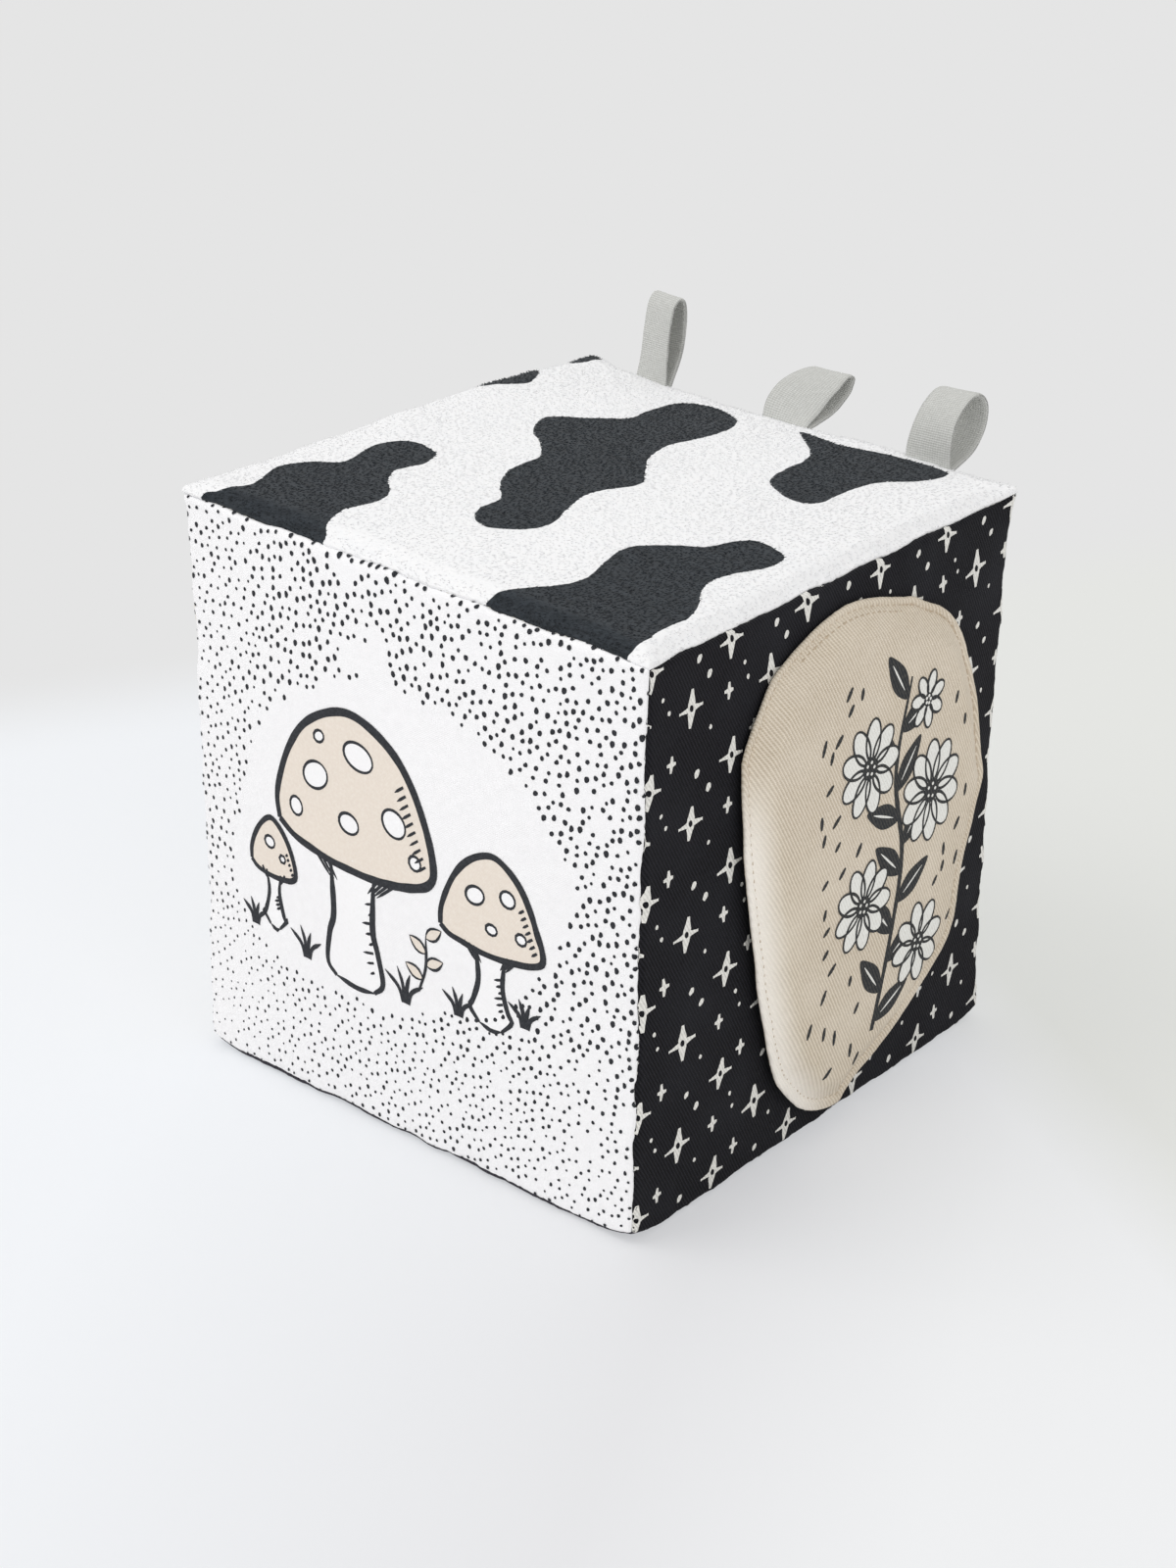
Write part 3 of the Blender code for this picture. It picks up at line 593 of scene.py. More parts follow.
class Shader:
    """The node tree of one material."""

    def __init__(self, name: str, colour: Colour, roughness: float, sheen: float = 0.0,
                 sheen_roughness: float = 0.5, specular: float = 0.25) -> None:
        """Start a material whose even values sit on the shader itself."""
        self.material = bpy.data.materials.new(name)
        self.material.use_nodes = True
        self.tree = self.material.node_tree
        self.shader = self.tree.nodes["Principled BSDF"]
        self.shader.inputs["Base Color"].default_value = (*colour, 1)
        self.shader.inputs["Roughness"].default_value = roughness
        self.shader.inputs["Sheen Weight"].default_value = sheen
        self.shader.inputs["Sheen Roughness"].default_value = sheen_roughness
        self.shader.inputs["Specular IOR Level"].default_value = specular
        self.material.diffuse_color = (*colour, 1)

    def add(self, kind: str, values: dict[str, object] | None = None, **settings: object) -> bpy.types.Node:
        """Add a node with settings and unlinked or linked inputs."""
        node = self.tree.nodes.new(kind)
        for key, value in settings.items():
            setattr(node, key, value)
        for key, value in (values or {}).items():
            socket = node.inputs[key]
            if isinstance(value, bpy.types.NodeSocket):
                self.tree.links.new(value, socket)
            else:
                socket.default_value = value
        return node

    def link(self, source: bpy.types.NodeSocket, name: str) -> None:
        """Feed a shader input."""
        self.tree.links.new(source, self.shader.inputs[name])

    def cloth(self) -> bpy.types.NodeSocket:
        """Flat cloth coordinates in millimetres."""
        source = self.add("ShaderNodeUVMap", uv_map="cloth")
        scale = FLAT_SPAN / MM
        return self.add("ShaderNodeMapping", {"Vector": source.outputs[0], "Scale": (scale, scale, scale)}).outputs[0]

    def space(self) -> bpy.types.NodeSocket:
        """Object coordinates in millimetres."""
        source = self.add("ShaderNodeTexCoord")
        return self.add("ShaderNodeMapping", {"Vector": source.outputs["Object"],
                                              "Scale": (1 / MM,) * 3}).outputs[0]

    def attribute(self, name: str) -> bpy.types.NodeSocket:
        """A number that the mesh keeps for each vertex."""
        return self.add("ShaderNodeAttribute", attribute_name=name, attribute_type="GEOMETRY").outputs["Fac"]

    def noise(self, where: bpy.types.NodeSocket, size: float, detail: float = 2.0) -> bpy.types.NodeSocket:
        """Noise with features of the given size in millimetres."""
        return self.add("ShaderNodeTexNoise", {"Vector": where, "Scale": 1 / size, "Detail": detail}).outputs[0]

    def bands(self, where: bpy.types.NodeSocket, pitch: float, turn_deg: float,
              distortion: float = 0.0) -> bpy.types.NodeSocket:
        """Parallel ridges: pitch in millimetres, and the direction across them."""
        turned = self.add("ShaderNodeMapping", {"Vector": where, "Rotation": (0, 0, -math.radians(turn_deg))})
        return self.add("ShaderNodeTexWave", {
            "Vector": turned.outputs[0], "Scale": math.pi / 10 / pitch, "Distortion": distortion,
            "Detail": 1.0, "Detail Scale": 0.6}, wave_type="BANDS", bands_direction="X").outputs["Fac"]

    def blend(self, share: bpy.types.NodeSocket | float, low: object, high: object) -> bpy.types.NodeSocket:
        """Mix two colours."""
        colours = [(*c, 1) if isinstance(c, tuple) and len(c) == 3 else c for c in (low, high)]
        node = self.add("ShaderNodeMix", data_type="RGBA")
        for socket, value in ((node.inputs[0], share), (node.inputs[6], colours[0]), (node.inputs[7], colours[1])):
            if isinstance(value, bpy.types.NodeSocket):
                self.tree.links.new(value, socket)
            else:
                socket.default_value = value
        return node.outputs[2]

    def sums(self, operation: str, first: object, second: object = 0.0) -> bpy.types.NodeSocket:
        """One step of arithmetic."""
        return self.add("ShaderNodeMath", {0: first, 1: second}, operation=operation).outputs[0]

    def spread(self, value: bpy.types.NodeSocket, low: float, high: float,
               to_low: float = 0.0, to_high: float = 1.0) -> bpy.types.NodeSocket:
        """Stretch a range of values to another."""
        return self.add("ShaderNodeMapRange", {"Value": value, "From Min": low, "From Max": high,
                                               "To Min": to_low, "To Max": to_high}).outputs[0]

    def along(self, where: bpy.types.NodeSocket, direction: Iterable[float]) -> bpy.types.NodeSocket:
        """Distance along a level direction."""
        return self.add("ShaderNodeVectorMath", {0: where, 1: (*direction, 0)},
                        operation="DOT_PRODUCT").outputs["Value"]

    def glow(self, colour: object) -> bpy.types.NodeSocket:
        """Light of an even colour."""
        return self.add("ShaderNodeEmission", {"Color": colour, "Strength": 1.0}).outputs[0]

    def relief(self, steps: Sequence[tuple[bpy.types.NodeSocket, float]]) -> None:
        """Bump the surface: each step is a height map and its height in metres."""
        normal = None
        for height, depth in steps:
            values: dict[str, object] = {"Height": height, "Distance": depth, "Strength": 1.0}
            if normal is not None:
                values["Normal"] = normal
            normal = self.add("ShaderNodeBump", values).outputs[0]
        self.link(normal, "Normal")


@dataclass(frozen=True)
class Woven:
    """A woven cloth, or ink on one: two sets of ridges with slubs, and faded clouds where it is worn.

    second holds the second ridges' pitch as a share of the first, the angle between the two and its share
    of the height. share holds how much of the tone the ridges and the slubs make, and the tone's range.
    """

    name: str
    colour: Colour
    shade: Colour
    pitch: float = 0.42
    slant_deg: float = 0.0
    second: tuple[float, float, float] = (1.0, 90.0, 1.0)
    wave: float = 0.4
    slub: float = 2.2
    share: tuple[float, float, float, float] = (0.0, 1.0, 0.3, 0.7)
    depths: tuple[float, float] = (0.00003, 0.00002)
    sheen: float = 0.10
    roughness: float = 0.90
    cloud: float = 20.0
    worn: Colour | None = None
    painted_highlight: Colour | None = None

    def make(self) -> bpy.types.Material:
        """Build the material."""
        s = Shader(self.name, self.colour, self.roughness, self.sheen, specular=0.12)
        flat = s.cloth()
        pitch_share, turn, part = self.second
        height = s.bands(flat, self.pitch, self.slant_deg, self.wave)
        if part:
            other = s.bands(flat, self.pitch * pitch_share, self.slant_deg + turn, self.wave)
            height = s.sums("ADD", height, s.sums("MULTIPLY", other, part))
        slub = s.noise(flat, self.slub, 3)
        ridges, slubs, low, high = self.share
        tone = s.sums("ADD", s.sums("MULTIPLY", height, ridges), s.sums("MULTIPLY", slub, slubs))
        base = s.blend(s.spread(tone, low, high), self.shade, self.colour)
        if self.worn:
            base = s.blend(s.spread(s.noise(flat, self.cloud, 3), 0.42, 0.75, 0.0, 0.45), base, self.worn)
        # A paler colour blended in by a number kept on the mesh: a painted highlight where the light grazes the cloth.
        if self.painted_highlight:
            base = s.blend(s.attribute("rub"), base, self.painted_highlight)
        s.link(base, "Base Color")
        s.relief([(height, self.depths[0]), (slub, self.depths[1])])
        return s.material


@dataclass(frozen=True)
class Pile:
    """Short plush pile, white with black patches where the patch attribute is above zero."""

    name: str
    white: Colour
    white_root: Colour
    black: Colour
    black_root: Colour
    sheen: float = 0.25

    def make(self) -> bpy.types.Material:
        """Build the material."""
        s = Shader(self.name, self.white, 1.0, self.sheen, 0.6, 0.1)
        patch = s.attribute("patch")
        stretched = s.add("ShaderNodeMapping", {"Vector": s.space(), "Rotation": (0, 0, math.radians(-40)),
                                                "Scale": (0.45, 1.3, 1.0)}).outputs[0]
        fibre = s.noise(stretched, 0.55, 3)
        lock = s.noise(stretched, 2.6, 2)
        tone = s.sums("ADD", s.sums("MULTIPLY", fibre, 0.6), s.sums("MULTIPLY", lock, 0.4))
        share = s.spread(tone, 0.36, 0.62)
        white = s.blend(share, self.white_root, self.white)
        black = s.blend(share, self.black_root, self.black)
        s.link(s.blend(s.spread(patch, -0.00005, 0.00005), white, black), "Base Color")
        s.relief([(fibre, 0.00006), (lock, 0.00006)])
        return s.material


@dataclass(frozen=True)
class Thread:
    """Spun sewing thread."""

    name: str
    colour: Colour

    def make(self) -> bpy.types.Material:
        """Build the material."""
        s = Shader(self.name, self.colour, 0.7, 0.2)
        ply = s.noise(s.space(), 0.25, 2)
        darker = tuple(c * 0.72 for c in self.colour)
        s.link(s.blend(s.spread(ply, 0.35, 0.65), darker, self.colour), "Base Color")
        s.relief([(ply, 0.00005)])
        return s.material


@dataclass(frozen=True)
class Foam:
    """Open-cell foam of the core."""

    name: str
    colour: Colour

    def make(self) -> bpy.types.Material:
        """Build the material."""
        s = Shader(self.name, self.colour, 0.95)
        cells = s.add("ShaderNodeTexVoronoi", {"Vector": s.space(), "Scale": 1.4}).outputs["Distance"]
        darker = tuple(c * 0.8 for c in self.colour)
        s.link(s.blend(s.spread(cells, 0.1, 0.6), darker, self.colour), "Base Color")
        s.relief([(cells, 0.0003)])
        return s.material


def linear(value: int) -> float:
    """Linear strength of one screen value."""
    v = value / 255
    return v / 12.92 if v <= 0.04045 else ((v + 0.055) / 1.055) ** 2.4


def from_screen(red: int, green: int, blue: int) -> Colour:
    """Linear colour of one that is written in screen values."""
    return linear(red), linear(green), linear(blue)


class Finishes:
    """Every finish of the block, each built once."""

    TWILL = {"slant_deg": 30.0, "second": (0.55, 62.0, 0.35), "wave": 0.9, "slub": 1.1,
             "share": (0.62, 0.5, 0.25, 1.05)}
    INK = {"slant_deg": 30.0, "second": (1.0, 0.0, 0.0), "wave": 0.9, "slub": 0.9, "share": (0.35, 0.9, 0.35, 0.75),
           "sheen": 0.04, "roughness": 0.86}

    def __init__(self) -> None:
        """Build the materials."""
        colour = from_screen
        cotton, faded = colour(251, 251, 253), colour(66, 68, 73)
        fine = {**self.INK, "pitch": 0.42, "depths": (0.00002, 0.00002)}
        coarse = {**self.INK, "depths": (0.00006, 0.00006)}
        self.dotted_cotton = Woven("white_cotton", cotton, colour(247, 247, 249)).make()
        self.grey_cotton = Woven("grey_cotton", colour(178, 180, 178), colour(162, 164, 162)).make()
        self.cream_cotton = Woven("cream_cotton", colour(233, 225, 209), colour(224, 215, 199)).make()
        self.black_twill = Woven("black_twill", colour(37, 37, 42), colour(8, 8, 10), 0.80, depths=(0.00010, 0.00006),
                                 sheen=0.02, worn=colour(42, 43, 48), **self.TWILL).make()
        self.base_twill = Woven("charcoal_twill", colour(60, 57, 66), colour(38, 36, 44), 0.85,
                                depths=(0.00010, 0.00006), **self.TWILL).make()
        # The beige twill's last, paler colour is a painted highlight on the flap's lower left rim.
        self.beige_twill = Woven("beige_twill", colour(233, 222, 205), colour(192, 178, 156), 0.90,
                                 depths=(0.00012, 0.00007), worn=colour(235, 225, 209), painted_highlight=colour(251, 246, 238),
                                 **self.TWILL).make()
        self.plush = Pile("patched_plush", colour(245, 245, 246), colour(241, 242, 244), colour(49, 55, 61),
                          colour(28, 33, 38), sheen=0.12).make()
        self.dot_ink = Woven("dot_ink", colour(34, 36, 40), faded, **fine).make()
        self.outline_ink = Woven("outline_ink", colour(44, 46, 50), faded, **fine).make()
        self.beige_ink = Woven("beige_ink", colour(232, 221, 209), colour(240, 232, 222), **fine).make()
        self.white_ink = Woven("white_ink", cotton, colour(246, 246, 247), **fine).make()
        self.star_ink = Woven("star_ink", colour(236, 235, 230), colour(206, 205, 200), 0.80, **coarse).make()
        self.ring_ink = Woven("ring_ink", colour(46, 49, 52), colour(74, 73, 70), 0.90, **coarse).make()
        self.pale_ink = Woven("pale_ink", colour(238, 239, 235), colour(226, 225, 219), 0.90, **coarse).make()
        self.tape = Woven("grey_tape", colour(214, 215, 212), colour(186, 187, 183), 0.55, 90.0, (1.3, -90.0, 0.6),
                          slub=1.4, share=(0.45, 0.5, 0.3, 0.95), depths=(0.00007, 0.00005), sheen=0.15).make()
        self.seam_thread = Thread("seam_thread", colour(214, 212, 205)).make()
        self.flap_thread = Thread("flap_thread", colour(206, 188, 164)).make()
        self.foam = Foam("foam", colour(235, 228, 200)).make()


class Recipe:
    """A geometry node tree built here, with named inputs."""

    def __init__(self, name: str, inputs: Sequence[tuple[str, str]]) -> None:
        """Start the tree.

        Args:
            name: Name of the tree.
            inputs: Label and socket type of each input after the geometry.
        """
        self.tree = bpy.data.node_groups.new(name, "GeometryNodeTree")
        face = self.tree.interface
        face.new_socket("Geometry", in_out="INPUT", socket_type="NodeSocketGeometry")
        for label, kind in inputs:
            face.new_socket(label, in_out="INPUT", socket_type=kind)
        face.new_socket("Geometry", in_out="OUTPUT", socket_type="NodeSocketGeometry")
        self.source = self.tree.nodes.new("NodeGroupInput").outputs
        self.result = self.tree.nodes.new("NodeGroupOutput").inputs

    @staticmethod
    def pick(sockets: Iterable[bpy.types.NodeSocket], name: str | int) -> bpy.types.NodeSocket:
        """The socket in use that has this name or number."""
        if isinstance(name, int):
            return list(sockets)[name]
        return next(s for s in sockets if s.enabled and s.name == name)

    def add(self, kind: str, values: dict[str, object] | None = None, out: str | int = 0,
            **settings: object) -> bpy.types.NodeSocket:
        """Add a node and return one of its outputs."""
        node = self.tree.nodes.new(kind)
        for key, value in settings.items():
            setattr(node, key, value)
        for key, value in (values or {}).items():
            socket = self.pick(node.inputs, key)
            if isinstance(value, bpy.types.NodeSocket):
                self.tree.links.new(value, socket)
            else:
                socket.default_value = value
        return self.pick(node.outputs, out)

    def attribute(self, name: str, kind: str = "FLOAT") -> bpy.types.NodeSocket:
        """Read a named attribute."""
        return self.add("GeometryNodeInputNamedAttribute", {"Name": name}, "Attribute", data_type=kind)

    def draw(self, kind: str, low: object, high: object) -> bpy.types.NodeSocket:
        """A random value of this kind for each instance, from the tree's seed."""
        return self.add("FunctionNodeRandomValue", {"Min": low, "Max": high, "Seed": self.source["Seed"]}, "Value",
                        data_type=kind)

    def sums(self, operation: str, first: object, second: object) -> bpy.types.NodeSocket:
        """One step of arithmetic."""
        return self.add("ShaderNodeMath", {0: first, 1: second}, operation=operation)

    def turned(self, angle: bpy.types.NodeSocket) -> bpy.types.NodeSocket:
        """A turn about the upward direction."""
        return self.add("FunctionNodeEulerToRotation", {"Euler": self.add("ShaderNodeCombineXYZ", {"Z": angle})})

    def only(self, label: str) -> bpy.types.NodeSocket:
        """Geometry of the object that an input names."""
        return self.add("GeometryNodeObjectInfo", {"Object": self.source[label]}, "Geometry")

    def close(self, instances: bpy.types.NodeSocket) -> None:
        """End with real geometry and its material."""
        real = self.add("GeometryNodeRealizeInstances", {"Geometry": instances})
        self.tree.links.new(self.add("GeometryNodeSetMaterial", {"Geometry": real,
                                                                  "Material": self.source["Material"]}), self.result[0])

    def make(self, base: bpy.types.Mesh, values: dict[str, object]) -> bpy.types.Mesh:
        """Run the tree on a mesh.

        Args:
            base: Mesh that the tree starts from.
            values: Value of each named input.

        Returns:
            A plain mesh.
        """
        item = bpy.data.objects.new("recipe_base", base)
        bpy.context.scene.collection.objects.link(item)
        modifier = item.modifiers.new("recipe", "NODES")
        modifier.node_group = self.tree
        for socket in self.tree.interface.items_tree:
            if socket.in_out == "INPUT" and socket.name in values:
                modifier[socket.identifier] = values[socket.name]
        item.update_tag()
        graph = bpy.context.evaluated_depsgraph_get()
        mesh = bpy.data.meshes.new_from_object(item.evaluated_get(graph), depsgraph=graph)
        item.modifiers.remove(modifier)
        bpy.data.objects.remove(item, do_unlink=True)
        return mesh


class PrintRecipe(Recipe):
    """Repeats small flat shapes: scattered over faces, or one on each vertex."""

    def __init__(self, scattered: bool) -> None:
        """Build the tree."""
        super().__init__("print_scatter" if scattered else "print_place", [
            ("Shapes", "NodeSocketCollection"), ("Last Shape", "NodeSocketInt"), ("Spacing", "NodeSocketFloat"),
            ("Density", "NodeSocketFloat"), ("Smallest", "NodeSocketFloat"), ("Largest", "NodeSocketFloat"),
            ("Wobble", "NodeSocketFloat"), ("Seed", "NodeSocketInt"), ("Material", "NodeSocketMaterial")])
        src = self.source
        points = src["Geometry"]
        if scattered:
            points = self.add("GeometryNodeDistributePointsOnFaces", {
                "Mesh": points, "Distance Min": src["Spacing"], "Density Max": src["Density"],
                "Density Factor": self.attribute("cover"), "Seed": src["Seed"]}, distribute_method="POISSON")
        size = self.draw("FLOAT", src["Smallest"], src["Largest"])
        if scattered:
            size = self.sums("MULTIPLY", size, self.attribute("grow"))
        swing = self.draw("FLOAT", self.sums("MULTIPLY", src["Wobble"], -1.0), src["Wobble"])
        turned = self.turned(self.sums("ADD", self.attribute("tilt"), swing))
        which = self.draw("INT", 0, src["Last Shape"])
        shapes = self.add("GeometryNodeCollectionInfo", {"Collection": src["Shapes"], "Separate Children": True,
                                                         "Reset Children": True})
        self.close(self.add("GeometryNodeInstanceOnPoints", {
            "Points": points, "Instance": shapes, "Pick Instance": True, "Instance Index": which,
            "Rotation": turned, "Scale": size}))


class TuftRecipe(Recipe):
    """Covers a pile cloth with tufts that lie along its nap."""

    SPREAD = (0.26, 0.26, 0.14)

    def __init__(self) -> None:
        """Build the tree."""
        super().__init__("pile_tufts", [
            ("Tuft", "NodeSocketObject"), ("Density", "NodeSocketFloat"), ("Side", "NodeSocketFloat"),
            ("Shortest", "NodeSocketFloat"), ("Longest", "NodeSocketFloat"), ("Width", "NodeSocketFloat"),
            ("Seed", "NodeSocketInt"), ("Material", "NodeSocketMaterial")])
        src = self.source
        points = self.add("GeometryNodeDistributePointsOnFaces", {
            "Mesh": src["Geometry"], "Density": src["Density"], "Seed": src["Seed"]}, distribute_method="RANDOM")
        sided = self.sums("MULTIPLY", self.attribute("patch"), src["Side"])
        here = self.add("FunctionNodeCompare", {"A": sided, "B": 0.0}, data_type="FLOAT", operation="GREATER_THAN")
        points = self.add("GeometryNodeSeparateGeometry", {"Geometry": points, "Selection": here}, domain="POINT")
        spun = self.turned(self.draw("FLOAT", 0.0, math.tau))
        spread = self.draw("FLOAT_VECTOR", tuple(-share for share in self.SPREAD), self.SPREAD)
        lean = self.add("ShaderNodeVectorMath", {0: self.attribute("nap", "FLOAT_VECTOR"), 1: spread}, operation="ADD")
        turned = self.add("FunctionNodeAlignRotationToVector", {"Rotation": spun, "Vector": lean}, axis="Z")
        length = self.draw("FLOAT", src["Shortest"], src["Longest"])
        scale = self.add("ShaderNodeCombineXYZ", {"X": src["Width"], "Y": src["Width"], "Z": length})
        self.close(self.add("GeometryNodeInstanceOnPoints", {"Points": points, "Instance": self.only("Tuft"),
                                                             "Rotation": turned, "Scale": scale}))


class StitchRecipe(Recipe):
    """Lays one stitch at each vertex, along its direction and flat on the cloth."""

    def __init__(self) -> None:
        """Build the tree."""
        super().__init__("stitch_row", [("Stitch", "NodeSocketObject"), ("Smallest", "NodeSocketFloat"),
                                        ("Largest", "NodeSocketFloat"), ("Seed", "NodeSocketInt"),
                                        ("Material", "NodeSocketMaterial")])
        src = self.source
        upright = self.add("FunctionNodeAlignRotationToVector", {"Vector": self.attribute("out", "FLOAT_VECTOR")},
                           axis="Z")
        turned = self.add("FunctionNodeAlignRotationToVector", {
            "Rotation": upright, "Vector": self.attribute("way", "FLOAT_VECTOR")}, axis="X", pivot_axis="Z")
        self.close(self.add("GeometryNodeInstanceOnPoints", {
            "Points": src["Geometry"], "Instance": self.only("Stitch"), "Rotation": turned,
            "Scale": self.draw("FLOAT", src["Smallest"], src["Largest"])}))


class PatternKit:
    """Recipes and the small shapes that they repeat."""

    def __init__(self) -> None:
        """Build the recipes."""
        self.scatter, self.place = PrintRecipe(True), PrintRecipe(False)
        self.tufts, self.stitches = TuftRecipe(), StitchRecipe()

    def _collection(self, shapes: Sequence[Shape]) -> bpy.types.Collection:
        """Put flat shapes in a collection of their own."""
        group = bpy.data.collections.new("shapes")
        for number, (points, faces) in enumerate(shapes):
            mesh = bpy.data.meshes.new("shape")
            flat = np.zeros((len(points), 3))
            flat[:, :points.shape[1]] = points
            mesh.from_pydata(flat.tolist(), [], faces)
            group.objects.link(bpy.data.objects.new(f"shape_{number:02d}", mesh))
        return group

    @staticmethod
    def _clear(group: bpy.types.Collection) -> None:
        """Remove the shapes again."""
        for item in list(group.objects):
            bpy.data.objects.remove(item, do_unlink=True)
        bpy.data.collections.remove(group)

    def scattered(self, base: bpy.types.Mesh, shapes: Sequence[Shape], spacing: float, density: float,
                  sizes: tuple[float, float], wobble: float, seed: int,
                  material: bpy.types.Material) -> bpy.types.Mesh:
        """Scatter shapes over a flat mesh that has cover, tilt and grow attributes."""
        group = self._collection(shapes)
        mesh = self.scatter.make(base, {
            "Shapes": group, "Last Shape": len(shapes) - 1, "Spacing": spacing, "Density": density,
            "Smallest": sizes[0], "Largest": sizes[1], "Wobble": wobble, "Seed": seed, "Material": material})
        self._clear(group)
        return mesh

    def placed(self, points: Array, tilts: Array, shapes: Sequence[Shape], sizes: tuple[float, float],
               wobble: float, seed: int, material: bpy.types.Material) -> bpy.types.Mesh:
        """Put one of the shapes at each flat point."""
        base = bpy.data.meshes.new("points")
        base.from_pydata(np.column_stack([points, np.zeros(len(points))]).tolist(), [], [])
        put_attribute(base, "tilt", np.asarray(tilts, float))
        group = self._collection(shapes)
        mesh = self.place.make(base, {
            "Shapes": group, "Last Shape": len(shapes) - 1, "Smallest": sizes[0], "Largest": sizes[1],
            "Wobble": wobble, "Seed": seed, "Material": material})
        self._clear(group)
        return mesh

    def tufted(self, base: bpy.types.Mesh, dark: bool, density: float, lengths: tuple[float, float], width: float,
               seed: int, material: bpy.types.Material) -> bpy.types.Mesh:
        """Cover the dark or the light part of a pile cloth with tufts."""
        ring = np.linspace(0, math.tau, 3, endpoint=False)
        points = np.vstack([np.column_stack([np.cos(ring), np.sin(ring), np.full(3, -0.1)]),
                            np.column_stack([np.cos(ring) * 0.55 + 0.25, np.sin(ring) * 0.55, np.full(3, 0.6)]),
                            [[0.7, 0.0, 1.0]]])
        faces = [[0, 1, 4, 3], [1, 2, 5, 4], [2, 0, 3, 5], [3, 4, 6], [4, 5, 6], [5, 3, 6]]
        group = self._collection([(points, faces)])
        mesh = self.tufts.make(base, {
            "Tuft": group.objects[0], "Density": density, "Side": 1.0 if dark else -1.0, "Shortest": lengths[0],
            "Longest": lengths[1], "Width": width, "Seed": seed, "Material": material})
        self._clear(group)
        return mesh

    def stitched(self, points: Array, out: Array, way: Array, length: float, radius: float, seed: int,
                 material: bpy.types.Material) -> bpy.types.Mesh:
        """Lay one stitch at each point."""
        base = bpy.data.meshes.new("points")
        base.from_pydata(points.tolist(), [], [])
        put_attribute(base, "out", out)
        put_attribute(base, "way", way)
        group = self._collection([thread_shape(length, radius)])
        mesh = self.stitches.make(base, {"Stitch": group.objects[0], "Smallest": 0.85, "Largest": 1.15,
                                         "Seed": seed, "Material": material})
        self._clear(group)
        return mesh


def thread_shape(length: float, radius: float, sides: int = 6) -> Shape:
    """A stitch that dips into the cloth at both ends."""
    stations = np.array([-0.5, -0.36, -0.15, 0.15, 0.36, 0.5])
    height = np.array([-1.4, 0.0, 0.55, 0.55, 0.0, -1.4]) * radius
    girth = np.array([0.5, 0.95, 1.0, 1.0, 0.95, 0.5]) * radius
    turn = np.linspace(0, math.tau, sides, endpoint=False)
    points = np.concatenate([np.column_stack([
        np.full(sides, x * length), np.cos(turn) * g, h + np.sin(turn) * g * 0.8])
        for x, h, g in zip(stations, height, girth)])
    faces = [[r * sides + k, r * sides + (k + 1) % sides, (r + 1) * sides + (k + 1) % sides, (r + 1) * sides + k]
             for r in range(len(stations) - 1) for k in range(sides)]
    faces += [list(range(sides))[::-1], [(len(stations) - 1) * sides + k for k in range(sides)]]
    return points, faces


def blob(seed: int, width: float, height: float, count: int = 10, rough: float = 0.12) -> Shape:
    """Uneven oval, as a printed dot."""
    turn = np.linspace(0, math.tau, count, endpoint=False)
    size = 1 + rough * np.random.default_rng(seed).uniform(-1, 1, count)
    points = np.column_stack([np.cos(turn) * width / 2, np.sin(turn) * height / 2]) * size[:, None]
    return points, [list(range(count))]


def star_shape(seed: int) -> Shape:
    """Four-armed star with an oval hole, drawn by hand: about 8 mm across."""
    draw = np.random.default_rng(seed)
    lengths = np.array([4.0, 4.4, 4.3, 4.3]) * draw.uniform(0.94, 1.06, 4)
    lean = np.array([0.0, -0.05, 0.10, -0.05]) + draw.uniform(-0.06, 0.06, 4)
    broad, tips = np.array([0.78, 1.30, 0.72, 1.25]), (0.50, 0.30, 0.46, 0.28)
    outer = []
    for arm in range(4):
        along, aside = compass(arm * math.pi / 2 + lean[arm])
        radii = np.array([1.25, 1.9, 2.8, 3.5, 4.0]) / 4.0 * lengths[arm]
        radii[0] = 1.25
        widths = np.array([1.0, 0.78, 0.55, 0.42, tips[arm]]) * broad[arm]
        widths = widths + draw.uniform(-0.05, 0.05, 5)
        outer += [along * r - aside * w for r, w in zip(radii, widths)]
        outer += [along * r + aside * w for r, w in zip(radii[::-1], widths[::-1])]
    hole = oval((0, 0), 1.30, 1.75, 20, 12)
    return filled(np.array(outer) * MM, [hole * MM], 0.8 * MM)


def cross_shape(seed: int) -> Shape:
    """Small four-armed cross, drawn by hand: about 3 mm across and 4 mm high."""
    draw = np.random.default_rng(seed)
    outer = []
    for arm, length in enumerate(np.array([1.45, 2.1, 1.55, 2.0]) * draw.uniform(0.9, 1.1, 4)):
        along, aside = compass(arm * math.pi / 2 + draw.uniform(-0.12, 0.12))
        outer += [along * 0.6 - aside * 0.55, along * length - aside * 0.34,
                  along * length + aside * 0.34, along * 0.6 + aside * 0.55]
    return filled(np.array(outer) * MM, (), 0.8 * MM)


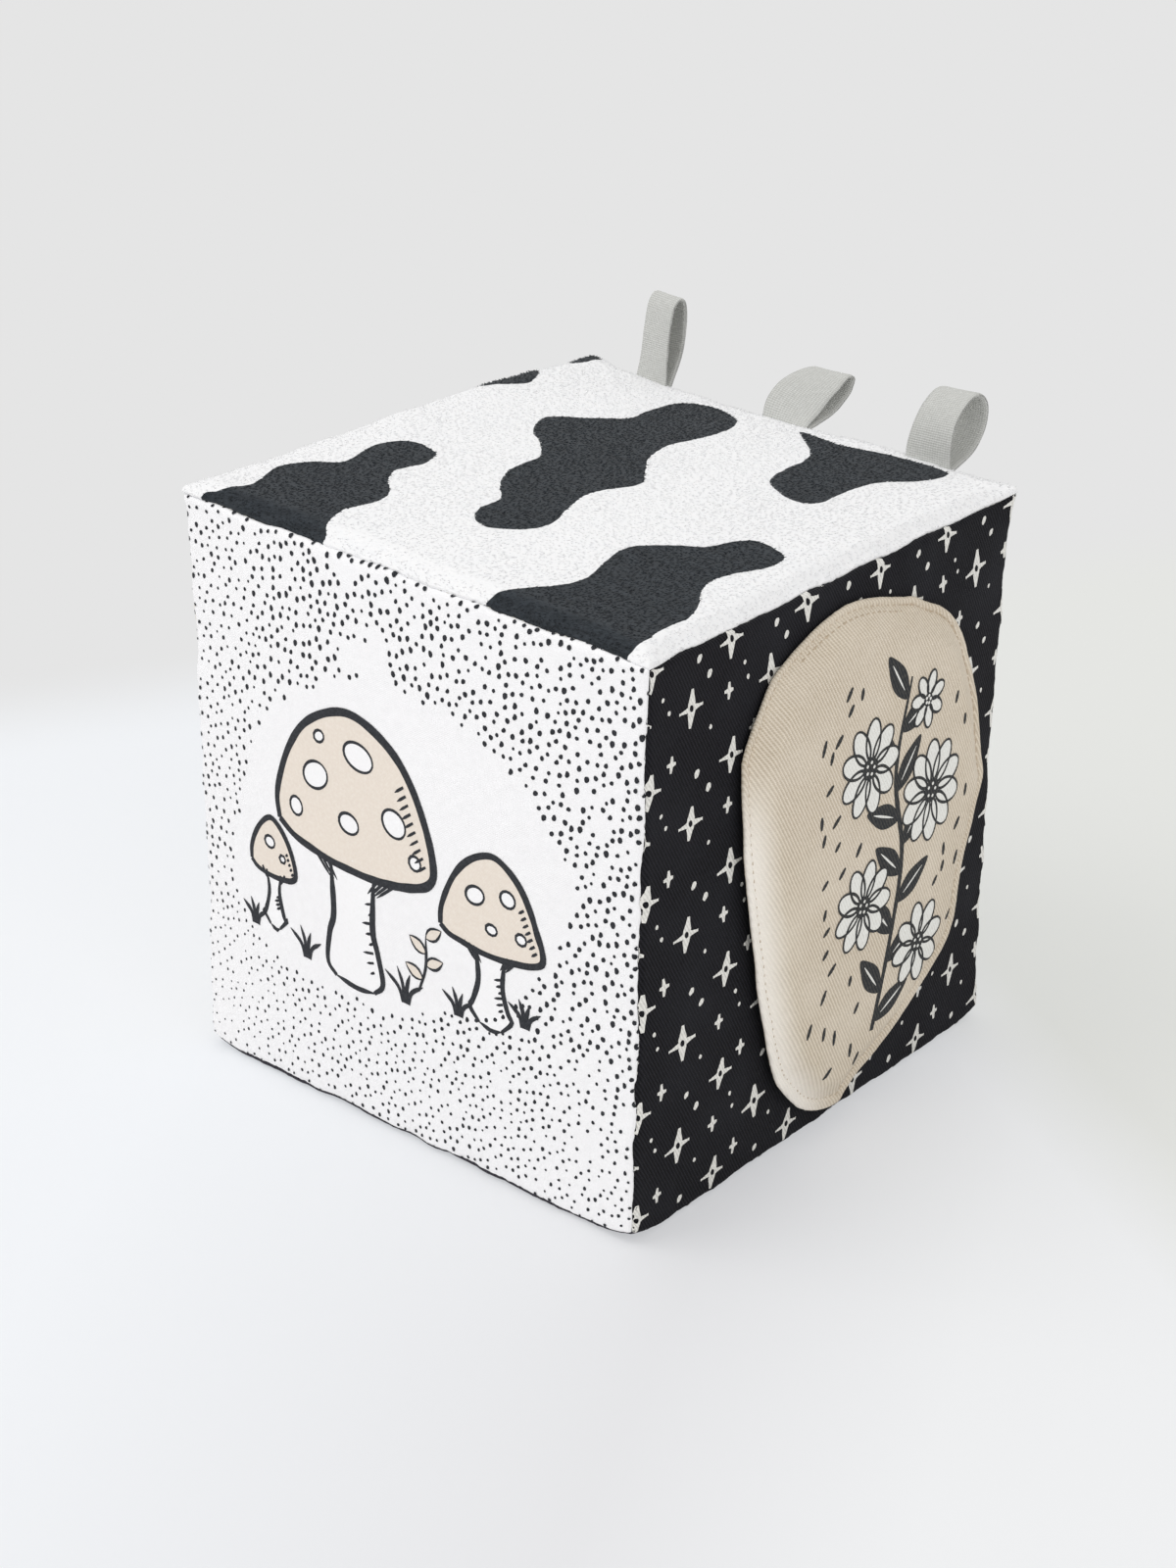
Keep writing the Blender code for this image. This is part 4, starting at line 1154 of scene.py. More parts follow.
class Drawing:
    """Flat brush drawing in millimetres, kept as one mesh for each ink."""

    MESH_STEP = 2.0
    STROKE_PART = 0.9
    ROUGHNESS = 0.10

    def __init__(self) -> None:
        """Start with no shapes."""
        self.parts: dict[str, list[tuple[Array, list[list[int]], float]]] = {}

    def _keep(self, ink: str, points: Array, faces: list[list[int]], lift: float) -> None:
        """Add faces to an ink."""
        self.parts.setdefault(ink, []).append((points, faces, lift))

    def fill(self, ink: str, outline: Sequence[Sequence[float]], lift: float = 0.05) -> None:
        """Fill a closed outline, rounded through its points.

        Args:
            ink: Name of the ink.
            outline: Corner points in millimetres.
            lift: Height over the cloth in millimetres.
        """
        self._keep(ink, *filled(closed_curve(outline, 5), (), self.MESH_STEP), lift)

    def stroke(self, ink: str, path: Sequence[Sequence[float]], width: float, lift: float = 0.09,
               taper: tuple[float, float] = (0.25, 0.25), seed: int = 0, smooth: bool = True) -> None:
        """Draw a brush stroke whose ends thin out.

        Args:
            ink: Name of the ink.
            path: Points of its middle line in millimetres.
            width: Width of its thickest part.
            lift: Height over the cloth in millimetres.
            taper: Width of its ends as a share of the whole.
            seed: Seed of its uneven edges.
            smooth: Round the path through its points.
        """
        line = open_curve(path, 6) if smooth else np.asarray(path, float)
        run = np.concatenate([[0], np.cumsum(np.hypot(*np.diff(line, axis=0).T))])
        count = max(4, int(run[-1] / self.STROKE_PART))
        at = np.linspace(0, run[-1], count)
        line = points_along(line, run, at)
        way = unit(np.gradient(line, axis=0))
        aside = np.column_stack([-way[:, 1], way[:, 0]])
        share = at / run[-1]
        ends = np.interp(share, [0, 0.28, 0.72, 1], [taper[0], 1, 1, taper[1]])
        rough = 1 + self.ROUGHNESS * SmoothNoise(900 + seed, 3.0)(at + 40)
        half = (width / 2 * ends * rough)[:, None]
        points = np.vstack([line - aside * half, line + aside * half])
        self._keep(ink, points, [[k, k + 1, count + k + 1, count + k] for k in range(count - 1)], lift)

    def meshes(self) -> Iterable[tuple[str, Array, Array, list[list[int]]]]:
        """Each ink with its flat points, their heights and its faces, in metres."""
        for ink, shapes in self.parts.items():
            points, lifts, faces, start = [], [], [], 0
            for flat, shape_faces, lift in shapes:
                points.append(flat)
                lifts.append(np.full(len(flat), lift))
                faces += [[start + k for k in face] for face in shape_faces]
                start += len(flat)
            yield ink, np.vstack(points) * MM, np.concatenate(lifts) * MM, faces


def leaf(base: Sequence[float], turn_deg: float, length: float, width: float) -> Array:
    """Outline of a leaf from its stalk end."""
    along = np.array([0, 0.18, 0.45, 0.75, 1.0, 0.75, 0.45, 0.18])
    aside = np.array([0, 0.34, 0.5, 0.33, 0, -0.33, -0.5, -0.34])
    return np.column_stack([along * length, aside * width]) @ np.array(compass(math.radians(turn_deg))) + base


def oval(middle: Sequence[float], width: float, height: float, turn_deg: float = 0.0, count: int = 14) -> Array:
    """Outline of an oval."""
    t = np.linspace(0, math.tau, count, endpoint=False)
    spin = np.array(compass(math.radians(turn_deg)))
    return np.column_stack([np.cos(t) * width / 2, np.sin(t) * height / 2]) @ spin + middle


@dataclass
class Shop:
    """What every sub-assembly is made with."""

    form: BlockForm
    seams: SeamSet
    finishes: Finishes
    kit: PatternKit

    def surface(self, face: Face, seed: int, **settings: float) -> PanelSurface:
        """Where the cloth of a face lies."""
        return PanelSurface(self.form, self.seams, face, seed, **settings)


def hand_over(item: bpy.types.Object, slot: str, nodes: Sequence[str] = (), body: str = "block") -> bpy.types.Object:
    """Tell the frame what a piece rides on and what it stands for.

    Args:
        item: The finished piece.
        slot: Material slot of the record; not used.
        nodes: Solids that it stands for.
        body: Body that it rides on, or nothing where it crosses a joint.

    Returns:
        The same piece.
    """
    if body:
        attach(item, body)
    if nodes:
        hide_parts(*nodes)
    LOG.info("%s: %d faces", item.name, len(item.data.polygons))
    return item


def lay_print(surface: PanelSurface, mesh: bpy.types.Mesh, name: str, material: bpy.types.Material,
              lift: Array | float) -> bpy.types.Object:
    """Lay flat printed shapes on a panel and cut them off inside its seams.

    Args:
        surface: The panel's surface.
        mesh: Flat shapes in metres from the panel's middle.
        name: Name of the piece.
        material: Its ink.
        lift: Height over the cloth.

    Returns:
        The printed piece.
    """
    flat = mesh_points(mesh)[:, :2]
    lift = np.broadcast_to(np.asarray(lift, float), len(flat))
    limits = [surface.form.sizes.flat + reach + PRINT_DIVE * surface.DIVE for reach in surface.reaches(*flat.T)]
    outside = (np.abs(flat[:, 0]) > limits[0]) | (np.abs(flat[:, 1]) > limits[1])
    kept = [list(p.vertices) for p in mesh.polygons if not outside[list(p.vertices)].all()]
    used = np.unique(np.concatenate([np.asarray(face) for face in kept]))
    number = np.full(len(flat), -1)
    number[used] = np.arange(len(used))
    flat = np.column_stack([np.clip(flat[:, k], -limits[k], limits[k]) for k in (0, 1)])[used]
    over = smooth_step((np.abs(flat).max(1) - surface.form.sizes.flat + PRINT_RAMP) / PRINT_RAMP)
    points = surface.place(flat[:, 0], flat[:, 1], lift[used] + PRINT_RISE * over)
    bpy.data.meshes.remove(mesh)
    return add_mesh(name, points, [number[face] for face in kept], material, flat)


def flat_mesh(points: Array, faces: Sequence[Sequence[int]]) -> bpy.types.Mesh:
    """A mesh in the flat plane of a panel."""
    mesh = bpy.data.meshes.new("flat")
    mesh.from_pydata(np.column_stack([points, np.zeros(len(points))]).tolist(), [], [list(map(int, f)) for f in faces])
    return mesh


@dataclass
class ClothPanel:
    """One sewn face of the cover in a plain cloth."""

    shop: Shop
    face: Face
    name: str
    node: str
    slot: str
    seed: int
    step: float = 0.0013
    wave: float = 0.00022
    cut: float = 0.153

    def build(self, material: bpy.types.Material, surface: PanelSurface | None = None) -> bpy.types.Object:
        """Make the stretched cloth.

        Args:
            material: Its finish.
            surface: Its surface, where it isn't the plain one.

        Returns:
            The cloth.
        """
        surface = surface or self.shop.surface(self.face, self.seed, wave=self.wave)
        across, up, quads = surface.grid(self.step)
        cloth = add_mesh(self.name, surface.place(across, up), quads, material, np.column_stack([across, up]))
        hand_over(cloth, self.slot, [self.node])
        return cloth


@dataclass
class FoamCore:
    """Foam cube that fills the cover."""

    shop: Shop
    NAME = "foam_cube"
    inset: float = 0.0016
    rounding: float = 0.004
    parts: int = 24
    weld: float = 0.00002

    def build(self) -> bpy.types.Object:
        """Make the foam."""
        half = self.shop.form.sizes.half - self.inset
        inner = half - self.rounding
        line = np.concatenate([[-half], np.linspace(-inner, inner, self.parts), [half]])
        points, faces = [], []
        for face in Face:
            axes = face.axes
            a, b = (g.ravel() for g in np.meshgrid(line, line, indexing="ij"))
            cube = np.stack([a, b, np.full(a.shape, half)], 1) @ axes
            core = np.clip(cube, -inner, inner)
            start, width = len(points) * len(a), len(line)
            points.append(core + unit(cube - core) * self.rounding)
            faces.append(lattice(width, width, start))
        shape = self.shop.form.soften(np.vstack(points) + self.shop.form.centre)
        foam = add_mesh(self.NAME, shape, np.vstack(faces), self.shop.finishes.foam)
        mend(foam.data, self.weld)
        return hand_over(foam, "upholstery_foam", ["foam_core"])


@dataclass
class DottedFront:
    """White cotton front panel with printed dots round a woodland picture."""

    shop: Shop
    step: float = 0.0010
    spacing: float = 0.00195
    density: float = 420000.0
    lift: float = 0.00006
    seed: int = 21
    bare_above: float = 0.80
    edge_wobble: float = 0.0007
    mean_tilt: float = -0.30
    flow_tilt: float = 0.5
    dot_sizes: tuple[tuple[float, float], ...] = (
        (1.14, 1.40), (1.06, 1.30), (1.20, 1.50), (0.98, 1.15), (1.06, 1.55), (1.24, 1.30), (0.84, 0.98))
    size_range: tuple[float, float] = (0.84, 1.16)
    turn_range: float = 0.50
    halo: tuple[tuple[float, float], ...] = (
        (-58, 55.5), (-55.5, 66), (-52.7, 74.7), (-49, 84), (-44.3, 91.9), (-38, 99), (-31.4, 104), (-19, 110),
        (-6.3, 112.6), (6, 113), (17.4, 111.3), (27, 108), (34.6, 103.2), (46, 93.2), (51.7, 85.9), (50, 75),
        (46.4, 65), (41, 56), (35, 48.5), (25, 43), (13.8, 39), (2, 35), (-8.4, 32.3), (-22, 31), (-34.8, 32.9),
        (-44, 34), (-51.6, 37.3), (-57, 45))

    TOADSTOOLS = (
        (((-40, 70), (-39, 82), (-31, 96), (-16, 103.5), (-1, 98), (8, 86), (11.5, 73), (6, 68), (-6, 65.5),
          (-16, 65), (-28, 66)), -15, 36.5, 14.5,
         ((-27, 85, 8.5, 6.5, 25), (-12.5, 94, 9.5, 6.5, -8), (-1, 81.5, 7.5, 6.5, -20), (-16, 76.5, 6.5, 5, 0),
          (-34, 75, 4.2, 4.6, 10), (5.6, 74, 3.8, 3.6, 0), (-25.5, 95, 3.6, 2.8, 30))),
        (((13.5, 62), (15.5, 71), (21, 79.5), (29.5, 83.5), (37.5, 78), (42, 69), (43.5, 62), (36, 59.5),
          (28, 58.8), (20, 59.7)), 28.5, 41.5, 8.6,
         ((24, 72.5, 5.5, 4.4, 20), (33.5, 74.5, 4.4, 4, -10), (37.5, 66, 3.2, 2.8, 0), (28.8, 65.5, 3.4, 2.6, 0))),
        (((-51, 56), (-49.3, 63), (-43.5, 68.8), (-37.4, 64), (-35, 56.5), (-39, 54.3), (-46, 54)), -43, 41.5, 5.2,
         ((-44, 62.5, 3.6, 3, 0), (-39.5, 59.5, 2.2, 2, 0))))
    GRASS = ((-50.5, 39, 6.5), (-32, 36.5, 8), (1.5, 37, 9), (18.5, 40, 7), (38.5, 44, 7))
    BLADES = ((-0.55, 0.75), (-0.2, 1.0), (0.15, 0.9), (0.5, 0.7))
    SPRIG = ((6, 42), (8.5, 49), (8.8, 57))
    SPRIG_LEAVES = ((7.4, 45.5, 155), (8.6, 49.5, 25), (8.7, 52.5, 150), (8.8, 56.5, 35))

    def build(self) -> None:
        """Make the cloth, its dots and its picture."""
        panel = ClothPanel(self.shop, Face.FRONT, "front_cotton", "front_panel", "white_dotted_cotton",
                           self.seed, self.step, wave=0.00030)
        surface = self.shop.surface(Face.FRONT, self.seed, wave=panel.wave)
        cloth = panel.build(self.shop.finishes.dotted_cotton, surface)
        self._dots(surface)
        self._picture(surface)

    def _dots(self, surface: PanelSurface) -> None:
        """Print the dots: uneven ovals that lean with a slow flow."""
        across, up, quads = surface.grid(self.step)
        flat = np.column_stack([across, up])
        base = flat_mesh(flat, quads)
        halo = closed_curve(np.array(self.halo) * MM - [0, self.shop.form.sizes.half], 3)
        gap, _ = edge_distance(flat, halo)
        wobble = SmoothNoise(self.seed + 5, 0.006)
        bare = SmoothNoise(self.seed + 6, 0.0105)
        cover = ((gap + self.edge_wobble * wobble.on_plane(across, up) < 0)
                 & (bare.on_plane(across, up) < self.bare_above))
        put_attribute(base, "cover", cover.astype(float))
        flow = SmoothNoise(self.seed + 7, 0.045)
        put_attribute(base, "tilt", self.mean_tilt + self.flow_tilt * flow.on_plane(across, up))
        put_attribute(base, "grow", 1 - 0.24 * smooth_step((-0.030 - across) / 0.030)
                      - 0.26 * smooth_step((-0.012 - up) / 0.040))
        shapes = [fan(blob(60 + k, w * MM, h * MM)) for k, (w, h) in enumerate(self.dot_sizes)]
        mesh = self.shop.kit.scattered(base, shapes, self.spacing, self.density, self.size_range, self.turn_range,
                                       self.seed, self.shop.finishes.dot_ink)
        dots = lay_print(surface, mesh, "front_dots", self.shop.finishes.dot_ink, self.lift)
        hand_over(dots, "white_dotted_cotton")

    def _picture(self, surface: PanelSurface) -> None:
        """Print the picture, each ink as its own piece."""
        drawing = Drawing()
        for number, toadstool in enumerate(self.TOADSTOOLS, 1):
            self._toadstool(drawing, number, *toadstool)
        for number, (x, z, size) in enumerate(self.GRASS):
            for blade, (lean, share) in enumerate(self.BLADES):
                middle = (x + lean * size * 0.45, z + size * share * 0.55)
                tip = (x + size * lean * 1.3, z + size * share)
                drawing.stroke("outline", [(x + lean * 1.6, z), middle, tip], 1.15, taper=(0.9, 0.15),
                               seed=200 + 10 * number + blade)
        drawing.stroke("outline", self.SPRIG, 0.9, taper=(0.8, 0.3), seed=301)
        for number, (x, z, turn) in enumerate(self.SPRIG_LEAVES):
            edge = leaf((x, z), turn, 6.0, 3.0)
            drawing.fill("beige", edge)
            drawing.stroke("outline", edge[:5], 0.6, seed=320 + number)
            drawing.stroke("outline", [*edge[4:], (x, z)], 0.7, seed=330 + number)
        half = self.shop.form.sizes.half
        inks = {"beige": self.shop.finishes.beige_ink, "white": self.shop.finishes.white_ink,
                "outline": self.shop.finishes.outline_ink}
        for ink, points, lifts, faces in drawing.meshes():
            mesh = flat_mesh(points - [0, half], faces)
            hand_over(lay_print(surface, mesh, f"front_picture_{ink}", inks[ink], lifts), "white_dotted_cotton")

    @staticmethod
    def _toadstool(drawing: Drawing, seed: int, cap: Sequence[tuple[float, float]], stalk_x: float, foot: float,
                   stalk: float, spots: Sequence[tuple[float, float, float, float, float]]) -> None:
        """Draw one toadstool.

        Args:
            drawing: Drawing that takes it.
            seed: Seed of its uneven strokes.
            cap: Outline of the cap.
            stalk_x: Middle of the stalk.
            foot: Height of its foot.
            stalk: Width of the stalk under the cap.
            spots: Middle, width, height and turn of each spot.
        """
        shape = np.array(cap, float)
        under = shape[:, 1].min()
        size = float(np.ptp(shape[:, 0])) / 50
        left, right = stalk_x - stalk / 2, stalk_x + stalk / 2
        middle = (under + foot) / 2
        sides = [[(left, under + 1), (left + 0.6, middle + 2), (left - 1.2, middle - 4), (left - 2.2, foot + 2.5),
                  (left + 0.6, foot - 0.5)],
                 [(right, under + 1), (right - 0.9, middle + 2), (right + 0.6, middle - 4), (right + 1.8, foot + 2.5),
                  (right - 1.2, foot - 0.8)]]
        drawing.fill("white", [*sides[0], (stalk_x, foot - 1.5), *sides[1][::-1]], 0.05)
        line = 2.1 * (0.55 + 0.45 * size)
        for number, side in enumerate(sides):
            drawing.stroke("outline", side, line * 0.85, 0.09, (0.5, 0.6), seed * 40 + number)
        drawing.stroke("outline", [sides[0][-1], (stalk_x, foot - 1.5), sides[1][-1]], line * 0.7, 0.09,
                       seed=seed * 40 + 3)
        for number in range(int(3 + 5 * size)):
            z = foot + 4 + number * (under - foot - 8) / (3 + 5 * size)
            drawing.stroke("outline", [(right - 0.8, z + 0.8), (right - 2.2 - (number % 3) * size, z)], 0.7, 0.09,
                           (0.9, 0.2), seed * 40 + 5 + number)
        gills = int(6 + 10 * size)
        for number in range(gills):
            share = (number + 0.5) / gills * 2 - 1
            x = shape[:, 0].mean() * 0.2 + (shape[:, 0].min() + np.ptp(shape[:, 0]) * (0.5 + share * 0.36)) * 0.8
            if abs(x - stalk_x) < stalk / 2 + 0.6:
                continue
            toward = stalk_x + (x - stalk_x) * 0.55
            drawing.stroke("outline", [(x, under + 0.4 + abs(share) * 1.2), (toward, under - 3.2 * size - 0.6)],
                           0.75, 0.085, (0.9, 0.25), seed * 40 + 20 + number)
        drawing.fill("beige", cap, 0.06)
        closed = closed_curve(shape, 2)
        drawing.stroke("outline", [*closed, closed[0]], line, 0.10, (0.8, 0.8), seed * 40 + 39)
        for number, (x, z, width, height, turn) in enumerate(spots):
            edge = oval((x, z), width, height, turn)
            drawing.fill("white", edge, 0.08)
            drawing.stroke("outline", [*edge, edge[0]], 0.75, 0.11, (0.7, 0.7), seed * 40 + 30 + number)
        for number in range(int(4 + 6 * size)):
            share = number / (3 + 6 * size)
            x = shape[:, 0].max() - 2.4 * size - share * 7 * size
            z = under + (9 + share * 17) * size
            drawing.stroke("outline", [(x, z), (x - 2.6 * size, z - 2.0 * size)], 0.7, 0.11, (0.9, 0.2),
                           seed * 40 + 50 + number)


def fan(shape: Shape) -> Shape:
    """A flat shape with a middle point, so that it can follow a curved cloth."""
    points, _ = shape
    count = len(points)
    return np.vstack([points, points.mean(0)]), [[k, (k + 1) % count, count] for k in range(count)]


@dataclass
class StarredRight:
    """Black twill right panel with printed stars, crosses and dots."""

    shop: Shop
    step: float = 0.0010
    across_pitch: float = 13.75
    first: float = -68.7
    even_rows: tuple[float, float] = (5.6, 26.45)
    odd_rows: tuple[float, float] = (19.0, 26.75)
    tilt: float = math.radians(1)
    unsteady: float = 0.4
    size_range: tuple[float, float] = (0.93, 1.07)
    lift: float = 0.00006
    seed: int = 41
    MARKS = ((("stars", 0, 0), ("crosses", 7.2, 4.0), ("ovals", 15.7, -0.8), ("ovals", 19.5, -5.2),
              ("small_dots", 4.0, -6.9), ("small_dots", 5.5, -10.5)),
             (("stars", 0, 0), ("crosses", 12.5, 0.3), ("small_dots", 6.4, -6.2)))

    def build(self) -> None:
        """Make the cloth and its print."""
        panel = ClothPanel(self.shop, Face.RIGHT, "right_twill", "right_panel", "black_star_twill", self.seed,
                           self.step, wave=0.00014)
        surface = self.shop.surface(Face.RIGHT, self.seed, wave=panel.wave)
        cloth = panel.build(self.shop.finishes.black_twill, surface)
        self._print(surface)

    def _print(self, surface: PanelSurface) -> None:
        """Print the stars in staggered columns, with what stands between them."""
        draw = np.random.default_rng(self.seed)
        places: dict[str, list[Array]] = {}
        for column in range(-2, 12):
            start, pitch = self.odd_rows if column % 2 else self.even_rows
            for row in range(-1, 7):
                middle = np.array([self.first + self.across_pitch * column, start + pitch * row])
                for name, across, up in self.MARKS[column % 2]:
                    shift = draw.uniform(-self.unsteady, self.unsteady, 2)
                    places.setdefault(name, []).append(middle + [across, up] + shift)
        half = self.shop.form.sizes.half
        rows = [
            ("stars", [star_shape(70 + k) for k in range(6)], self.tilt, 0.10),
            ("crosses", [cross_shape(80 + k) for k in range(4)], self.tilt, 0.12),
            ("ovals", [fan(blob(90 + k, 1.5 * MM, 2.05 * MM)) for k in range(4)], -0.55, 0.25),
            ("small_dots", [fan(blob(95 + k, 1.0 * MM, 1.2 * MM)) for k in range(4)], 0.0, 0.6)]
        for number, (name, shapes, tilt, wobble) in enumerate(rows):
            flat = np.array(places[name]) * MM - [0, half]
            ink = self.shop.finishes.star_ink
            mesh = self.shop.kit.placed(flat, np.full(len(flat), tilt), shapes, self.size_range, wobble,
                                        self.seed + number, ink)
            hand_over(lay_print(surface, mesh, f"right_{name}", ink, self.lift), "black_star_twill")


def filled(outline: Array, holes: Sequence[Array], step: float) -> Shape:
    """Triangles between a closed outline and its holes.

    Args:
        outline: Rows of the outline.
        holes: Rows of each hole.
        step: Mesh size inside.

    Returns:
        Flat points and faces.
    """
    low, high = outline.min(0), outline.max(0)
    spots = np.stack(np.meshgrid(np.arange(low[0], high[0], step), np.arange(low[1], high[1], step)), -1)
    spots = spots.reshape(-1, 2)
    keep = edge_distance(spots, outline)[0] > step * 0.3
    for hole in holes:
        keep &= edge_distance(spots, hole)[0] < -step * 0.3
    rings = [outline, *holes]
    points = np.vstack([*rings, spots[keep]])
    edges, start = [], 0
    for ring in rings:
        edges += [(start + k, start + (k + 1) % len(ring)) for k in range(len(ring))]
        start += len(ring)
    found = delaunay_2d_cdt([Vector(p) for p in points], edges, [], 0, step * 1e-5)
    flat = np.array([tuple(v) for v in found[0]])
    faces = [list(f) for f in found[2]]
    middles = np.array([flat[f].mean(0) for f in faces])
    inside = edge_distance(middles, outline)[0] > 0
    for hole in holes:
        inside &= edge_distance(middles, hole)[0] < 0
    return flat, [f for f, kept in zip(faces, inside) if kept]


@dataclass
class PatchedTop:
    """White plush top panel with black patches and its tufts."""

    shop: Shop
    step: float = 0.0010
    pile: float = 0.0026
    near_pile: float = 0.0005
    far_pile: float = 0.0018
    seed: int = 61
    fuzz: float = 0.00020
    nap_step: float = 0.0016
    nap_turn_deg: float = 35.0
    nap_swirl: float = 0.5
    nap_edge: float = 0.0045
    tuft_lengths: tuple[float, float] = (0.00040, 0.00072)
    tuft_width: float = 0.00014

    TUFTS = (("top_white_tufts", False, 1100000.0, 5), ("top_black_tufts", True, 1900000.0, 9))
    PATCHES: tuple[tuple[tuple[float, float], ...], ...] = (
        ((-64.6, -84), (-64, -69.5), (-61, -66.9), (-58.1, -61.4), (-58.7, -57.2), (-61.6, -50.5), (-62.1, -45.5),
         (-58.6, -39.5), (-54, -35.8), (-54.1, -31.3), (-56.4, -23.2), (-55.5, -18.6), (-53.3, -15.3),
         (-49.2, -14.2), (-44.3, -15.3), (-41, -17), (-39.4, -20.3), (-38.4, -24.2), (-39.7, -28.1), (-40, -32),
         (-36.3, -37.6), (-31.2, -42.4), (-28.8, -47.1), (-29.3, -51.5), (-31, -57.2), (-29, -63.5),
         (-26.6, -67.1), (-25.5, -69.5), (-25, -84)),
        ((-36.1, 11.2), (-41.2, 20.1), (-39.4, 24.2), (-33.5, 28.6), (-26.7, 36.2), (-27.8, 44.5), (-28.4, 56.6),
         (-24.1, 61.4), (-18.1, 62.2), (-9.2, 58), (-4.7, 50.2), (-3.4, 39.9), (-5, 29.7), (-4.5, 22.5),
         (-1.1, 14.2), (5.3, 6), (8.3, 1.4), (7.8, -3.3), (5.3, -9.1), (4.6, -15.2), (7.1, -23.9), (9.9, -31.4),
         (8.8, -36.9), (5.2, -41), (-0.2, -43.3), (-5.9, -40.8), (-8.4, -36.1), (-8.4, -31.3), (-9.9, -27.6),
         (-15, -22.6), (-19.6, -16), (-21.2, -11), (-21.2, -3.8), (-23, 0.2), (-29.5, 6.5)),
        ((7.7, 63), (16.5, 61.4), (23, 61), (33.4, 63.5), (44.6, 64.8), (53.2, 64.6), (53.8, 58.4), (50.8, 52.5),
         (46.3, 46.6), (44.8, 39.8), (44.3, 31.5), (44.7, 25.3), (43, 21.6), (38, 20.5), (32.6, 22.4),
         (28.4, 25.1), (26.2, 29.7), (25.3, 34.7), (24.7, 41.2), (23.3, 46.9), (19.5, 52), (13.8, 56.9)),
        ((23, -84), (23.4, -67.6), (25.1, -64.7), (28.3, -60.3), (33, -54), (34.2, -47.5), (32.5, -40.5),
         (30.9, -33.6), (31.9, -28), (37.6, -20.9), (42.8, -16.8), (44.8, -10.3), (47.4, -5.3), (52, -4.8),
         (57.3, -6.6), (58.9, -10.2), (58.5, -15.1), (55.8, -22.3), (54.8, -28.8), (56.1, -34.7), (60.7, -41.6),
         (62.9, -48.8), (62.5, -55.1), (63.3, -64.4), (62.6, -68.4), (62.6, -84)),
        ((-80, 25), (-69, 27), (-65.4, 30.6), (-62.4, 35.4), (-62.4, 39.2), (-65.4, 44.6), (-69, 47.9), (-80, 50)),
        ((-80, 58), (-69.6, 59.5), (-66.4, 60.8), (-65.2, 64.2), (-65.8, 68), (-67.5, 71), (-80, 72)))

    def build(self) -> None:
        """Make the plush and its tufts."""
        panel = ClothPanel(self.shop, Face.TOP, "top_plush", "top_panel", "cow_plush", self.seed, self.step,
                           wave=0.00030)
        surface = self.shop.surface(Face.TOP, self.seed, wave=panel.wave, pile=self.pile,
                                    near_pile=self.near_pile, far_pile=self.far_pile)
        cloth = panel.build(self.shop.finishes.plush, surface)
        across, up, _ = surface.grid(self.step)
        put_attribute(cloth.data, "patch", self._patch(across, up))
        tufts = self._tufts(surface)
        for item in tufts:
            hand_over(item, "cow_plush")

    def _patch(self, across: Array, up: Array) -> Array:
        """Distance inside the black patches, below zero outside them, with an uneven border."""
        flat = np.column_stack([across, up])
        inside = np.full(len(across), -np.inf)
        for outline in self.PATCHES:
            inside = np.maximum(inside, edge_distance(flat, closed_curve(np.array(outline) * MM, 4))[0])
        rough, fine = SmoothNoise(self.seed + 3, 0.0021), SmoothNoise(self.seed + 4, 0.0007)
        return inside + self.fuzz * (rough.on_plane(across, up) + 0.8 * fine.on_plane(across, up))

    def _tufts(self, surface: PanelSurface) -> list[bpy.types.Object]:
        """Cover the plush with tufts: the nap lies to the right and turns down over the seams."""
        across, up, quads = surface.grid(self.nap_step, 3, 0)
        points, out = surface.place_with_normal(across, up)
        base = bpy.data.meshes.new("nap")
        base.from_pydata(points.tolist(), [], quads.tolist())
        swirl = SmoothNoise(self.seed + 7, 0.020)
        turn = math.radians(self.nap_turn_deg) + self.nap_swirl * swirl.on_plane(across, up)
        along = np.column_stack([np.cos(turn), np.sin(turn), np.zeros(len(turn))])
        half = self.shop.form.sizes.half
        edge = smooth_step((np.maximum(np.abs(across), np.abs(up)) - half + self.nap_edge) / 0.004)
        away = unit(np.column_stack([across * (np.abs(across) > np.abs(up)), up * (np.abs(up) >= np.abs(across)),
                                     np.full(len(across), -half * 0.35)]))
        lean = along * (1 - edge[:, None]) + away * edge[:, None] * 1.3
        put_attribute(base, "nap", unit(out * (0.24 + 0.76 * edge[:, None]) + lean))
        put_attribute(base, "patch", self._patch(across, up))
        made = []
        for name, dark, density, seed in self.TUFTS:
            mesh = self.shop.kit.tufted(base.copy(), dark, density, self.tuft_lengths, self.tuft_width,
                                        self.seed + seed, self.shop.finishes.plush)
            put_attribute(mesh, "patch", np.full(len(mesh.vertices), 0.001 if dark else -0.001))
            made.append(finish_mesh(mesh, name, self.shop.finishes.plush))
        return made


